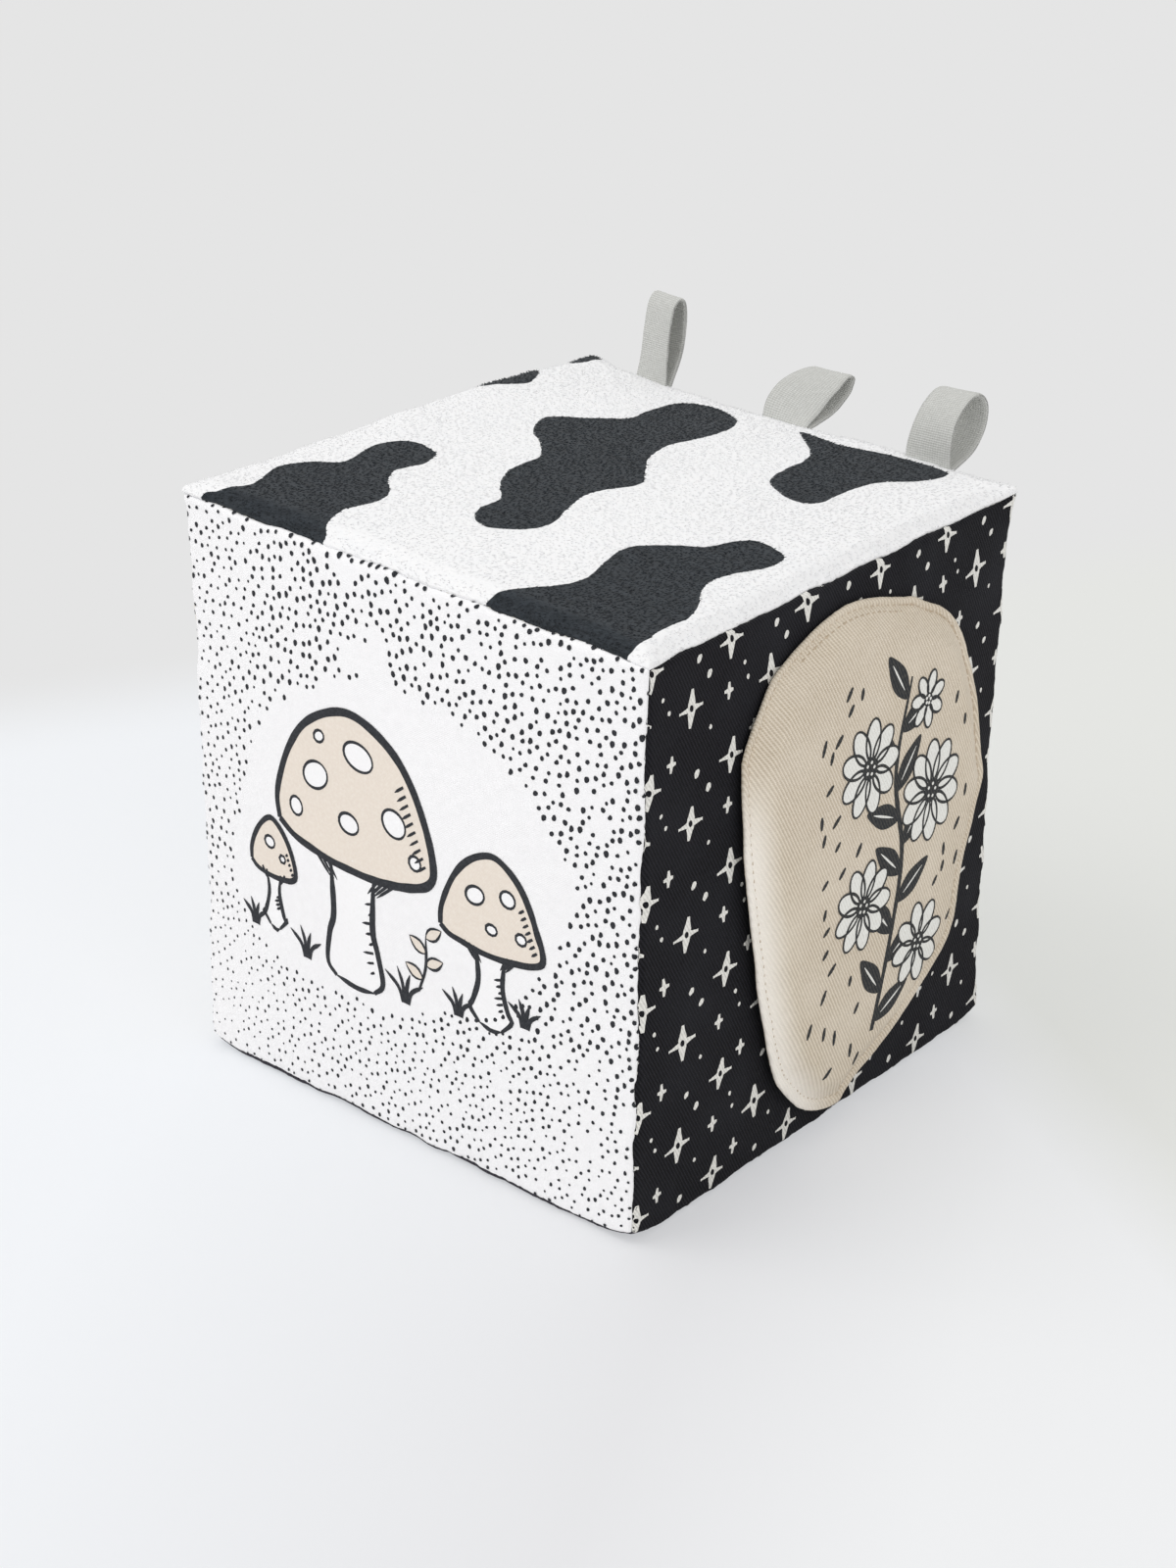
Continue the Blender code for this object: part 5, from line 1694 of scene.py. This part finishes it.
@dataclass
class SeamStitches:
    """Ladder stitches that close the twelve edges, deep in their grooves."""

    shop: Shop
    pitch: float = 0.0024
    length: float = 0.0019
    radius: float = 0.00020
    depth: float = 0.00040
    ends: tuple[float, float] = (0.003, 0.002)
    surface_seed: int = 300
    seed: int = 400

    OTHER_NODES = {"front_left": "left_front"}

    def build(self) -> None:
        """Make one row for each edge."""
        for number, (first, second) in enumerate(self.shop.seams.seams):
            surface = self.shop.surface(first, self.surface_seed)
            s = self.shop.form.sizes
            way = second.axes[2] @ first.axes.T
            axis = int(np.argmax(np.abs(way)))
            run = np.arange(-s.flat + self.ends[0], s.flat - self.ends[1], self.pitch)
            place = [run, run]
            place[axis] = np.full(len(run), way[axis] * s.flat)
            reach = surface.reaches(place[0], place[1] + (axis == 1) * way[axis] * NUDGE)
            place[axis] = way[axis] * (s.flat + reach[axis])
            points, out = surface.place_with_normal(place[0], place[1], -self.depth)
            along = unit(np.gradient(points, axis=0))
            mesh = self.shop.kit.stitched(points, out, along, self.length, self.radius, self.seed + number,
                                          self.shop.finishes.seam_thread)
            name = f"{first.name}_{second.name}".lower()
            row = finish_mesh(mesh, f"stitches_{name}", self.shop.finishes.seam_thread)
            hand_over(row, "sewing_thread", [f"seam_thread_{self.OTHER_NODES.get(name, name)}"])


@dataclass
class TapeLoop:
    """One grey tape, folded into a loop and caught in the top back seam."""

    shop: Shop
    name: str
    place: float
    near: tuple[tuple[float, float], ...]
    far: tuple[tuple[float, float], ...]
    blend_start: tuple[float, float]
    blend_end: tuple[float, float]
    seed: int
    width: float = 0.0127
    thickness: float = 0.0009
    uneven: float = 0.012
    rim_from: float = 0.86
    selvedge: float = 0.10
    ripple: float = 0.00006
    columns: int = 17
    parts: int = 96
    root: tuple[tuple[float, float], ...] = ((67.4, 134.0), (68.2, 138.0))

    def build(self) -> None:
        """Make the tape as one closed ribbon with both ends sewn in."""
        side = np.linspace(-0.5, 0.5, self.columns)
        lines = []
        for edge in (self.far, self.near):
            path = [(y - 0.5, z) for y, z in self.root] + list(edge) + [(y + 0.2, z) for y, z in self.root[::-1]]
            lines.append(evenly(open_curve(np.array(path) * MM, 10), self.parts))
        share = (side + 0.5)[:, None, None]
        sheet = lines[0][None] * (1 - share) + lines[1][None] * share
        rough = SmoothNoise(self.seed, 0.004)
        run = run_along(sheet.mean(0))
        across = self.place + side[:, None] * self.width * (1 + self.uneven * rough(run + 0.2))[None, :]
        middle = np.stack([across, sheet[..., 0], sheet[..., 1]], -1)
        along = unit(np.gradient(middle, axis=1))
        over = unit(np.gradient(middle, axis=0))
        out = unit(np.cross(along, over))
        out_to = np.abs(side) * 2
        edge = 1 - 0.55 * np.maximum(out_to - self.rim_from, 0)[:, None] / (1 - self.rim_from)
        bulge = self.selvedge * np.exp(-((out_to - 0.84) / 0.07) ** 2)[:, None]
        ripple = self.ripple * rough(run[None, :] * 1.3 + 0.1, side[:, None] * 0.01 + 0.3)
        lift = self.thickness / 2 * (edge + bulge) + ripple
        upper, lower = middle + out * lift[..., None], middle - out * lift[..., None]
        rows, count = self.columns, middle.shape[1]
        points = np.vstack([upper.reshape(-1, 3), lower.reshape(-1, 3)])
        index = np.arange(rows * count).reshape(rows, count)
        quads, shift = lattice(rows, count), rows * count
        ring = [*index[0, :], *index[1:, -1], *index[-1, -2::-1], *index[-2:0:-1, 0]]
        rim = [[ring[k], ring[(k + 1) % len(ring)], ring[(k + 1) % len(ring)] + shift, ring[k] + shift]
               for k in range(len(ring))]
        flat = np.column_stack([np.repeat(side * self.width, count), np.tile(run, rows)])
        faces = [*quads.tolist(), *(quads[:, ::-1] + shift).tolist(), *rim]
        tape = add_mesh(self.name, points, faces, self.shop.finishes.tape, np.vstack([flat, flat + [0.02, 0]]))
        mend(tape.data)
        hand_over(tape, "grey_tape", [f"tape_loop_{self.key}", f"tape_end_{self.key}_top",
                                      f"tape_end_{self.key}_back"], body="")
        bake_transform(tape)

    @property
    def key(self) -> str:
        """Which of the three loops it is."""
        return self.name.rsplit("_", 1)[-1]


@dataclass
class LiftFlap:
    """Padded beige flap, sewn on along its top edge: cloths, wadding and topstitching."""

    shop: Shop
    outline: tuple[tuple[float, float], ...] = (
        (22.8, 129.2), (30.9, 125.8), (38.2, 121.9), (44.1, 116.9), (49.3, 109.7), (55.3, 97.0), (60.4, 78.1),
        (62.4, 70.1), (58.2, 60.5), (53.4, 47.8), (49.8, 32.5), (35.4, 21.9), (27.2, 17.0), (19.5, 13.0),
        (10.0, 9.6), (6.2, 7.4), (3.0, 5.0), (-5.0, 6.6), (-13.0, 10.8), (-19.8, 18.0), (-24.4, 24.8),
        (-29.9, 40.2), (-33.8, 54.9), (-39.2, 81.0), (-40.4, 104.5), (-38.9, 112.3), (-33.4, 119.8),
        (-28.6, 124.9), (-22.4, 128.2), (-15.8, 131.0), (-8.6, 133.0), (-0.6, 134.2), (8.2, 133.1))
    fold: float = 0.1270
    thickness: float = 0.0037
    rim_height: float = 0.0013
    rise: float = 0.0065
    clearance: float = 0.0003
    stand_off: float = 0.0016
    edge: float = 0.0007
    insets: tuple[float, float] = (0.0018, 0.0030)
    stitch_pitch: float = 0.0024
    crown: float = 0.00035
    pucker: float = 0.00022
    pucker_cells: tuple[float, float] = (0.0046, 0.0023)
    pucker_reach: float = 0.0045
    groove_depth: float = 0.00058
    groove_width: float = 0.00055
    swell: float = 0.00018
    swell_cell: float = 0.021
    # Strength and reach of the painted highlight along the flap's lower left rim.
    painted_highlight: float = 0.90
    painted_highlight_width: float = 0.0085
    rim_part: float = 0.00080
    mesh_steps: tuple[float, float] = (0.00095, 0.00085)
    mesh_gap: float = 0.00055
    fold_stand: float = 0.0033
    bend_above: float = 0.0016
    bend_below: float = 0.0026
    stitch_length: float = 0.80
    stitch_radius: float = 0.00021
    stitch_sink: float = 0.00012
    seed: int = 81
    art_middle: tuple[float, float] = (17.0, 67.0)

    BRANCH = ((-6, -44), (-1, -22), (2, 0), (-2, 22), (4, 44))
    DAISIES = ((-13, 27, 11.5, 9), (14, 12, 12.5, 10), (-13.5, -8, 11.0, 9), (11.5, -27, 10.5, 8), (11, 36, 7.0, 7))

    def __post_init__(self) -> None:
        """Work out the outline and what its height depends on."""
        points = np.array(self.outline) * MM
        curve = closed_curve(points, 24)
        closed = np.vstack([curve, curve[:1]])
        run = run_along(closed)
        at = np.linspace(0, run[-1], int(run[-1] / self.rim_part), endpoint=False)
        curve = points_along(closed, run, at)
        tangent = unit(np.roll(curve, -1, 0) - np.roll(curve, 1, 0))
        self.inward, self.at = np.column_stack([tangent[:, 1], -tangent[:, 0]]), at
        slow, quick = SmoothNoise(self.seed, 0.0070), SmoothNoise(self.seed + 1, 0.0012)
        wobble = 0.00030 + 0.00028 * slow(at + NOISE_START) + 0.00006 * quick(at + NOISE_START)
        self.rim = curve + self.inward * wobble[:, None]
        self.low = points[:, 1].min()
        self.left, self.middle = points[:, 0].min(), (points[:, 0].min() + points[:, 0].max()) / 2

    def drop(self, flat: Array) -> Array:
        """How far down the flap each point is, from 0 at the fold to 1 at its tip."""
        return np.clip((self.fold - flat[:, 1]) / (self.fold - self.low), 0, 1)

    def inset(self, flat: Array) -> Array:
        """Distance of the topstitching from the rim."""
        return self.insets[0] + (self.insets[1] - self.insets[0]) * self.drop(flat)

    def put(self, flat: Array, height: Array | float) -> Array:
        """Points of the flap at a height over its back."""
        drop = self.drop(flat)
        aside = np.clip((self.middle - flat[:, 0]) / (self.middle - self.left), 0, 1)
        share = np.clip(drop ** 2 + aside ** 2 * np.clip(3 * drop, 0, 1), 0, 1)
        points = self.shop.form.soften(np.column_stack([np.full(len(flat), self.shop.form.sizes.half), flat]))
        points[:, 0] += self.clearance + self.stand_off * share + height
        return points

    def relief(self, flat: Array, front: bool = True) -> Array:
        """Height of the pad's front, or of its flat back with its rounded rim."""
        gap, place = edge_distance(flat, self.rim)
        gap = np.maximum(gap, 0)
        half = self.rim_height / 2
        bend = half * np.sqrt(1 - (1 - np.clip(gap / self.edge, 0, 1)) ** 2)
        if not front:
            return half - bend
        wide, narrow = (SmoothNoise(self.seed + 2 + k, cell) for k, cell in enumerate(self.pucker_cells))
        slant = place + NOISE_START + 0.45 * gap
        folds = wide(slant, gap * 0.25 + NOISE_START) + 0.45 * narrow(slant, gap * 0.2 + NOISE_START)
        reach = np.exp(-np.maximum(gap - 0.001, 0) / self.pucker_reach) * smooth_step(gap / 0.0012)
        beat = 0.5 + 0.5 * np.cos(place * 2 * math.pi / self.stitch_pitch)
        groove = np.exp(-((gap - self.inset(flat)) / self.groove_width) ** 2) * (0.55 + 0.45 * beat)
        rise = (self.thickness - self.rim_height) * smooth_step((gap - self.inset(flat)) / self.rise)
        height = half + bend + rise + self.crown * smooth_step((gap - 0.003) / 0.012)
        broad = SmoothNoise(self.seed + 4, self.swell_cell).on_plane(*flat.T)
        return (height - self.groove_depth * groove + self.pucker * folds * reach
                + self.swell * broad * smooth_step(gap / 0.004))

    def rub(self, flat: Array) -> Array:
        """How strongly a painted highlight brightens the front cloth along the lower left rim."""
        gap = edge_distance(flat, self.rim)[0]
        near = smooth_step((0.0100 - gap) / self.painted_highlight_width)
        low, left = smooth_step((0.112 - flat[:, 1]) / 0.028), smooth_step((0.004 - flat[:, 0]) / 0.020)
        return self.painted_highlight * near * low * left

    def build(self) -> None:
        """Make the pad, its stitching and its print."""
        pad = self._pad()
        hand_over(pad, "beige_twill", ["flap_front_cloth", "flap_back_cloth", "flap_wadding", "flap_sewn_margin"],
                  body="")
        for item in (pad, *self._stitching()):
            self._fold(item)
        self._print()

    def _fold(self, item: bpy.types.Object) -> None:
        """Bake a piece's placement into its mesh."""
        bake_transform(item)

    def _pad(self) -> bpy.types.Object:
        """Make the closed pad: rings inside the rim, then an even mesh."""
        bend = np.radians([0, 18, 36, 54, 72, 90])
        insets = [*(self.edge * (1 - np.cos(bend))), 0.0011, 0.0014, 0.0017, 0.0020, 0.0023, 0.0026, 0.0030]
        rings = [self.rim + self.inward * inset for inset in insets]
        count, last = len(self.rim), rings[-1]
        low, high = last.min(0), last.max(0)
        line = np.arange(low[0], high[0], self.mesh_steps[0])
        spots = np.vstack([np.column_stack([line + (k % 2) * 0.00047, np.full(len(line), z)])
                           for k, z in enumerate(np.arange(low[1], high[1], self.mesh_steps[1]))])
        spots = spots[edge_distance(spots, last)[0] > self.mesh_gap]
        found = delaunay_2d_cdt([Vector(p) for p in np.vstack([last, spots])], [], [list(range(count))], 1, 1e-8)
        flat = np.vstack([*rings[:-1], [tuple(v) for v in found[0]]])
        start = count * (len(rings) - 1)
        faces = [[ring * count + k, ring * count + (k + 1) % count, (ring + 1) * count + (k + 1) % count,
                  (ring + 1) * count + k] for ring in range(len(rings) - 1) for k in range(count)]
        faces += [[start + v for v in f] for f in found[2]]
        lower = [[v if v < count else v + len(flat) for v in f][::-1] for f in faces]
        points = np.vstack([self.put(flat, self.relief(flat)), self.put(flat, self.relief(flat, False))])
        pad = add_mesh("flap_pad", points, faces + lower, self.shop.finishes.beige_twill, np.vstack([flat, flat]))
        # The front carries the painted highlight along its lower left rim; the back has none.
        put_attribute(pad.data, "rub", np.concatenate([self.rub(flat), np.zeros(len(flat))]))
        mend(pad.data)
        return pad

    def _stitching(self) -> list[bpy.types.Object]:
        """Topstitches all round, seen on both sides, and those that hold the top edge to the panel."""
        run = np.arange(0, self.at[-1], self.stitch_pitch)
        ring = self.rim + self.inward * self.inset(self.rim)[:, None]
        flat = points_along(ring, self.at, run)
        middle = (flat + np.roll(flat, -1, 0)) / 2
        along = unit(self.put(np.roll(flat, -1, 0), 0.0) - self.put(flat, 0.0))
        made = []
        rows = [("flap_topstitches", ["flap_topstitch"], np.full(len(middle), True), 0.0, 1),
                ("flap_attaching_stitches", ["flap_attaching_stitch"], middle[:, 1] > self.fold + 0.0004, 0.0014, 1),
                ("flap_stitches_behind", [], middle[:, 1] < self.fold - 0.0040, 0.0, -1)]
        for number, (name, nodes, keep, lower, side) in enumerate(rows):
            spots = middle[keep] - [0.0, lower]
            points = self.put(spots, self.relief(spots, side > 0) - side * self.stitch_sink)
            out, thread = np.tile([float(side), 0.0, 0.0], (len(points), 1)), self.shop.finishes.flap_thread
            mesh = self.shop.kit.stitched(points, out, along[keep], self.stitch_pitch * self.stitch_length,
                                          self.stitch_radius, 500 + number, thread)
            made.append(hand_over(finish_mesh(mesh, name, thread), "beige_thread", nodes, body=""))
        return made

    def _print(self) -> None:
        """Print a leafy branch, white daisies on it and short strokes round it."""
        drawing = Drawing()
        busy = [*self._branch(drawing), *self._daisies(drawing)]
        self._strokes(drawing, busy)
        inks = {"pale": self.shop.finishes.pale_ink, "ring": self.shop.finishes.ring_ink}
        for ink, points, lifts, faces in drawing.meshes():
            height = self.relief(points) + lifts
            mark = add_mesh(f"flap_picture_{ink}", self.put(points, height), faces, inks[ink], points)
            hand_over(mark, "beige_twill", body="flap")

    def _branch(self, drawing: Drawing) -> list[tuple[Array, float]]:
        """Draw the branch and its leaves, and return the places that they take with their room."""
        stem = open_curve(np.array(self.art_middle) + self.BRANCH, 9)
        drawing.stroke("ring", stem, 1.7, 0.07, (0.9, 0.4), 3, smooth=False)
        busy = [(spot, 3.0) for spot in stem]
        for number in range(12):
            base = stem[1 + 3 * number]
            way = stem[2 + 3 * number] - stem[3 * number]
            turn = math.degrees(math.atan2(way[1], way[0])) + (52 if number % 2 else -52)
            tip = base + compass(math.radians(turn))[0] * 15.0
            drawing.fill("ring", leaf(base, turn, 15.0, 6.2), 0.08)
            drawing.stroke("pale", [base + (tip - base) * 0.2, base + (tip - base) * 0.8], 0.55, 0.10, seed=9 + number)
            busy += [((base + tip) / 2, 5.0), (tip, 3.0)]
        return busy

    def _daisies(self, drawing: Drawing) -> list[tuple[Array, float]]:
        """Draw the daisies, and return the places that they take with their room."""
        busy = []
        for number, (y, z, size, petals) in enumerate(self.DAISIES):
            middle = np.array(self.art_middle) + [y, z]
            busy.append((middle, size + 1.5))
            for petal in range(petals):
                turn = math.tau * petal / petals + 0.3 * number
                spot = middle + compass(turn)[0] * size * 0.60
                edge = oval(spot, size * 0.86, size * 0.50, math.degrees(turn))
                drawing.fill("pale", edge, 0.11 + 0.003 * petal)
                drawing.stroke("ring", [*edge, edge[0]], 0.75, 0.15, (0.7, 0.7), 40 + 10 * number + petal)
            drawing.fill("ring", oval(middle, size * 0.52, size * 0.48), 0.18)
            for grain in range(5):
                spot = middle + compass(math.tau * grain / 5)[0] * size * 0.13
                drawing.fill("pale", oval(spot, 0.9, 0.8), 0.21)
        return busy

    def _strokes(self, drawing: Drawing, busy: list[tuple[Array, float]]) -> None:
        """Draw short strokes where nothing else is, away from the rim."""
        draw = np.random.default_rng(self.seed)
        for number in range(240):
            spot = np.array(self.art_middle) + draw.uniform((-33, -50), (33, 48))
            clear = edge_distance(spot[None] * MM, self.rim)[0][0]
            if clear < 0.0085 or any(math.dist(spot, other) < room + 1.8 for other, room in busy):
                continue
            way = compass(draw.uniform(0.5, 1.6))[0] * draw.uniform(1.3, 2.0)
            drawing.stroke("ring", [spot - way, spot, spot + way], 1.2, 0.08, (0.5, 0.5), number, smooth=False)
            busy.append((spot, 2.2))


@dataclass
class Studio:
    """Pale table and wall, soft light and the camera."""

    lens: float = 68.24
    position: Triple = (0.4236, -0.4998, 0.3727)
    azimuth_deg: float = 40.61
    elevation_deg: float = 24.98
    roll_deg: float = 0.79
    # The camera-only glow on the floor is painted light and shade: brightest at the left, darker in the middle and
    # towards the right back, paler again at the low right.
    floor_left: tuple[int, int, int] = (239, 243, 248)
    floor_painted_light_steps: tuple[tuple[tuple[float, float], float, float, tuple[int, int, int]], ...] = (
        ((0.9, 0.43), -0.090, 0.045, (222, 223, 226)), ((0.9, 0.43), 0.048, 0.110, (236, 238, 240)),
        ((0.5, 0.86), 0.080, 0.110, (221, 223, 218)))
    floor_glow: float = 0.62
    floor_height: float = -0.0003
    floor_reach: float = 4.0
    wall: tuple[int, int, int] = (229, 229, 227)
    beyond_floor: tuple[int, int, int] = (229, 229, 229)
    daylight: Colour = (1.0, 0.99, 0.975)
    daylight_strength: float = 0.64
    lamps: tuple[tuple[str, Triple, float, float], ...] = (
        ("key", (-0.75, -0.85, 1.55), 1.3, 13.0), ("fill", (1.30, -0.60, 0.80), 1.0, 4.4),
        ("back", (-0.40, 1.20, 1.10), 1.2, 2.4))
    horizon: tuple[tuple[float, float], ...] = ((-0.262, 0.020), (-0.246, 0.082), (-0.097, 0.339), (-0.072, 0.402))

    def build(self) -> None:
        """Make the floor, the camera and the lights."""
        scene = bpy.context.scene
        scene.view_settings.view_transform = "Standard"
        self._camera(scene)
        self._floor()
        self._world(scene)
        for lamp in self.lamps:
            self._lamp(*lamp)

    def _camera(self, scene: bpy.types.Scene) -> None:
        """Stand the camera where the picture was taken from."""
        az, el, roll = (math.radians(v) for v in (self.azimuth_deg, self.elevation_deg, self.roll_deg))
        forward = np.array([-math.sin(az) * math.cos(el), math.cos(az) * math.cos(el), -math.sin(el)])
        right = np.array([math.cos(az), math.sin(az), 0.0])
        up = np.cross(right, forward)
        right, up = right * math.cos(roll) + up * math.sin(roll), -right * math.sin(roll) + up * math.cos(roll)
        data = bpy.data.cameras.new("camera")
        data.lens, data.sensor_width, data.clip_start, data.clip_end = self.lens, 36.0, 0.01, 50.0
        camera = bpy.data.objects.new("camera", data)
        matrix = Matrix([(*row, place) for row, place in zip(np.column_stack([right, up, -forward]), self.position)]
                        + [(0, 0, 0, 1)])
        camera.matrix_world = matrix
        scene.collection.objects.link(camera)
        scene.camera = camera

    def _lamp(self, name: str, place: Triple, size: float, power: float) -> None:
        """Hang one soft lamp that looks at the block."""
        data = bpy.data.lights.new(name, "AREA")
        data.shape, data.size, data.energy = "SQUARE", size, power
        lamp = bpy.data.objects.new(name, data)
        aim = Vector((0, 0, 0.07)) - Vector(place)
        lamp.matrix_world = Matrix.Translation(place) @ aim.to_track_quat("-Z", "Y").to_matrix().to_4x4()
        bpy.context.scene.collection.objects.link(lamp)

    def _world(self, scene: bpy.types.Scene) -> None:
        """Even pale surroundings."""
        world = bpy.data.worlds.new("studio")
        world.use_nodes = True
        tree = world.node_tree
        background = tree.nodes["Background"]
        background.inputs["Color"].default_value = (*self.daylight, 1)
        background.inputs["Strength"].default_value = self.daylight_strength
        seen = tree.nodes.new("ShaderNodeBackground")
        seen.inputs["Color"].default_value = (*from_screen(*self.wall), 1)
        ray = tree.nodes.new("ShaderNodeLightPath")
        either = tree.nodes.new("ShaderNodeMath")
        either.operation = "MAXIMUM"
        tree.links.new(ray.outputs["Is Camera Ray"], either.inputs[0])
        tree.links.new(ray.outputs["Is Glossy Ray"], either.inputs[1])
        mix = tree.nodes.new("ShaderNodeMixShader")
        tree.links.new(either.outputs[0], mix.inputs[0])
        tree.links.new(background.outputs[0], mix.inputs[1])
        tree.links.new(seen.outputs[0], mix.inputs[2])
        tree.links.new(mix.outputs[0], tree.nodes["World Output"].inputs["Surface"])
        scene.world = world

    def _floor(self) -> None:
        """Lay a wide pale floor that fades to the wall's colour beyond its soft edge."""
        count = 60
        line = np.sinh(np.linspace(-1, 1, count) * 4) / math.sinh(4) * self.floor_reach
        a, b = (g.ravel() for g in np.meshgrid(line, line, indexing="ij"))
        shader = Shader("pale_floor", from_screen(246, 246, 247), 0.9, specular=0.1)
        points = np.column_stack([a, b, np.full(len(a), self.floor_height)])
        floor = add_mesh("floor", points, lattice(count, count), shader.material)
        self._fade(shader)

    def _fade(self, shader: Shader) -> None:
        """Mix the floor's shading with a soft glow and, beyond its edge, the wall: for the camera only."""
        where = shader.add("ShaderNodeTexCoord").outputs["Object"]
        ray = shader.add("ShaderNodeLightPath").outputs["Is Camera Ray"]
        # The glow's colour changes across the table: painted light and shade.
        painted_floor_light: object = from_screen(*self.floor_left)
        for direction, start, end, colour in self.floor_painted_light_steps:
            painted_floor_light = shader.blend(shader.spread(shader.along(where, direction), start, end), painted_floor_light,
                                from_screen(*colour))
        edge = np.array(self.horizon)
        way = unit(edge[-1] - edge[0])
        across = np.array([-way[1], way[0]])
        beyond = shader.sums("SUBTRACT", shader.along(where, across), float(edge.mean(0) @ across))
        share = shader.add("ShaderNodeMapRange", {"Value": beyond, "From Min": -0.035, "From Max": 0.035},
                           interpolation_type="SMOOTHSTEP").outputs[0]
        surface = shader.shader.outputs[0]
        wall = (*from_screen(*self.beyond_floor), 1)
        for part, light in ((self.floor_glow, shader.glow(painted_floor_light)), (share, shader.glow(wall))):
            mix = shader.add("ShaderNodeMixShader", {0: shader.sums("MULTIPLY", part, ray)})
            shader.tree.links.new(surface, mix.inputs[1])
            shader.tree.links.new(light, mix.inputs[2])
            surface = mix.outputs[0]
        shader.tree.links.new(surface, shader.tree.nodes["Material Output"].inputs["Surface"])


def tape_loops(shop: Shop) -> list[TapeLoop]:
    """The three loops, each as it lies, in millimetres along y and z."""
    return [
        TapeLoop(shop, "ribbon_left", -0.04606,
                 ((69.6, 141.4), (70.0, 149.5), (70.8, 157.5), (72.0, 162.6), (74.3, 165.0), (76.6, 164.0),
                  (77.2, 158.6), (75.9, 151.0), (72.8, 144.6), (70.6, 141.4)),
                 ((71.4, 141.6), (73.6, 148.5), (74.9, 156.0), (76.3, 161.6), (78.6, 164.2), (80.6, 162.8),
                  (80.9, 157.4), (79.0, 150.2), (74.6, 144.6), (71.6, 141.6)),
                 (70.6, 141.4), (70.9, 146.0), 11, width=0.0118),
        TapeLoop(shop, "ribbon_middle", -0.00197,
                 ((70.0, 141.6), (75.2, 144.4), (80.3, 147.4), (85.0, 149.9), (88.0, 151.2), (89.9, 150.4),
                  (89.2, 148.5), (87.8, 146.6), (82.3, 143.4), (75.8, 142.0), (70.4, 141.0)),
                 ((69.0, 141.8), (70.7, 146.9), (75.8, 150.2), (82.2, 151.2), (88.2, 151.0), (91.3, 149.8),
                  (90.4, 147.8), (87.0, 145.2), (81.0, 143.2), (75.0, 142.0), (70.2, 141.0)),
                 (70.4, 141.0), (75.0, 142.8), 12),
        TapeLoop(shop, "ribbon_right", 0.04212,
                 ((68.9, 141.0), (68.6, 146.3), (69.6, 151.4), (72.7, 155.6), (77.0, 157.9), (80.8, 157.6),
                  (83.3, 155.0), (83.6, 150.9), (81.7, 146.8), (77.8, 143.6), (72.6, 141.9), (69.4, 140.6)),
                 ((68.8, 141.0), (69.0, 145.2), (70.9, 149.7), (74.2, 153.7), (78.5, 156.3), (82.1, 156.7),
                  (84.3, 154.7), (83.7, 150.9), (81.0, 147.2), (77.2, 143.9), (72.6, 141.9), (69.4, 140.6)),
                 (69.6, 140.6), (73.0, 144.6), 13),
    ]


def main() -> None:
    """Build the stage and every sub-assembly."""
    logging.basicConfig(level=logging.INFO, format="%(message)s")
    Studio().build()
    form = BlockForm(BlockSizes())
    shop = Shop(form, SeamSet(), Finishes(), PatternKit())
    FoamCore(shop).build()
    DottedFront(shop).build()
    StarredRight(shop).build()
    PatchedTop(shop).build()
    for face, name, node, slot, finish, seed in (
            (Face.BACK, "back_cotton", "back_panel", "grey_cotton", shop.finishes.grey_cotton, 101),
            (Face.LEFT, "left_cotton", "left_panel", "cream_cotton", shop.finishes.cream_cotton, 121),
            (Face.BOTTOM, "bottom_twill", "bottom_panel", "charcoal_twill", shop.finishes.base_twill, 141)):
        panel = ClothPanel(shop, face, name, node, slot, seed)
        panel.build(finish)
    SeamStitches(shop).build()
    for loop in tape_loops(shop):
        loop.build()
    LiftFlap(shop).build()


if __name__ == "__main__":
    main()
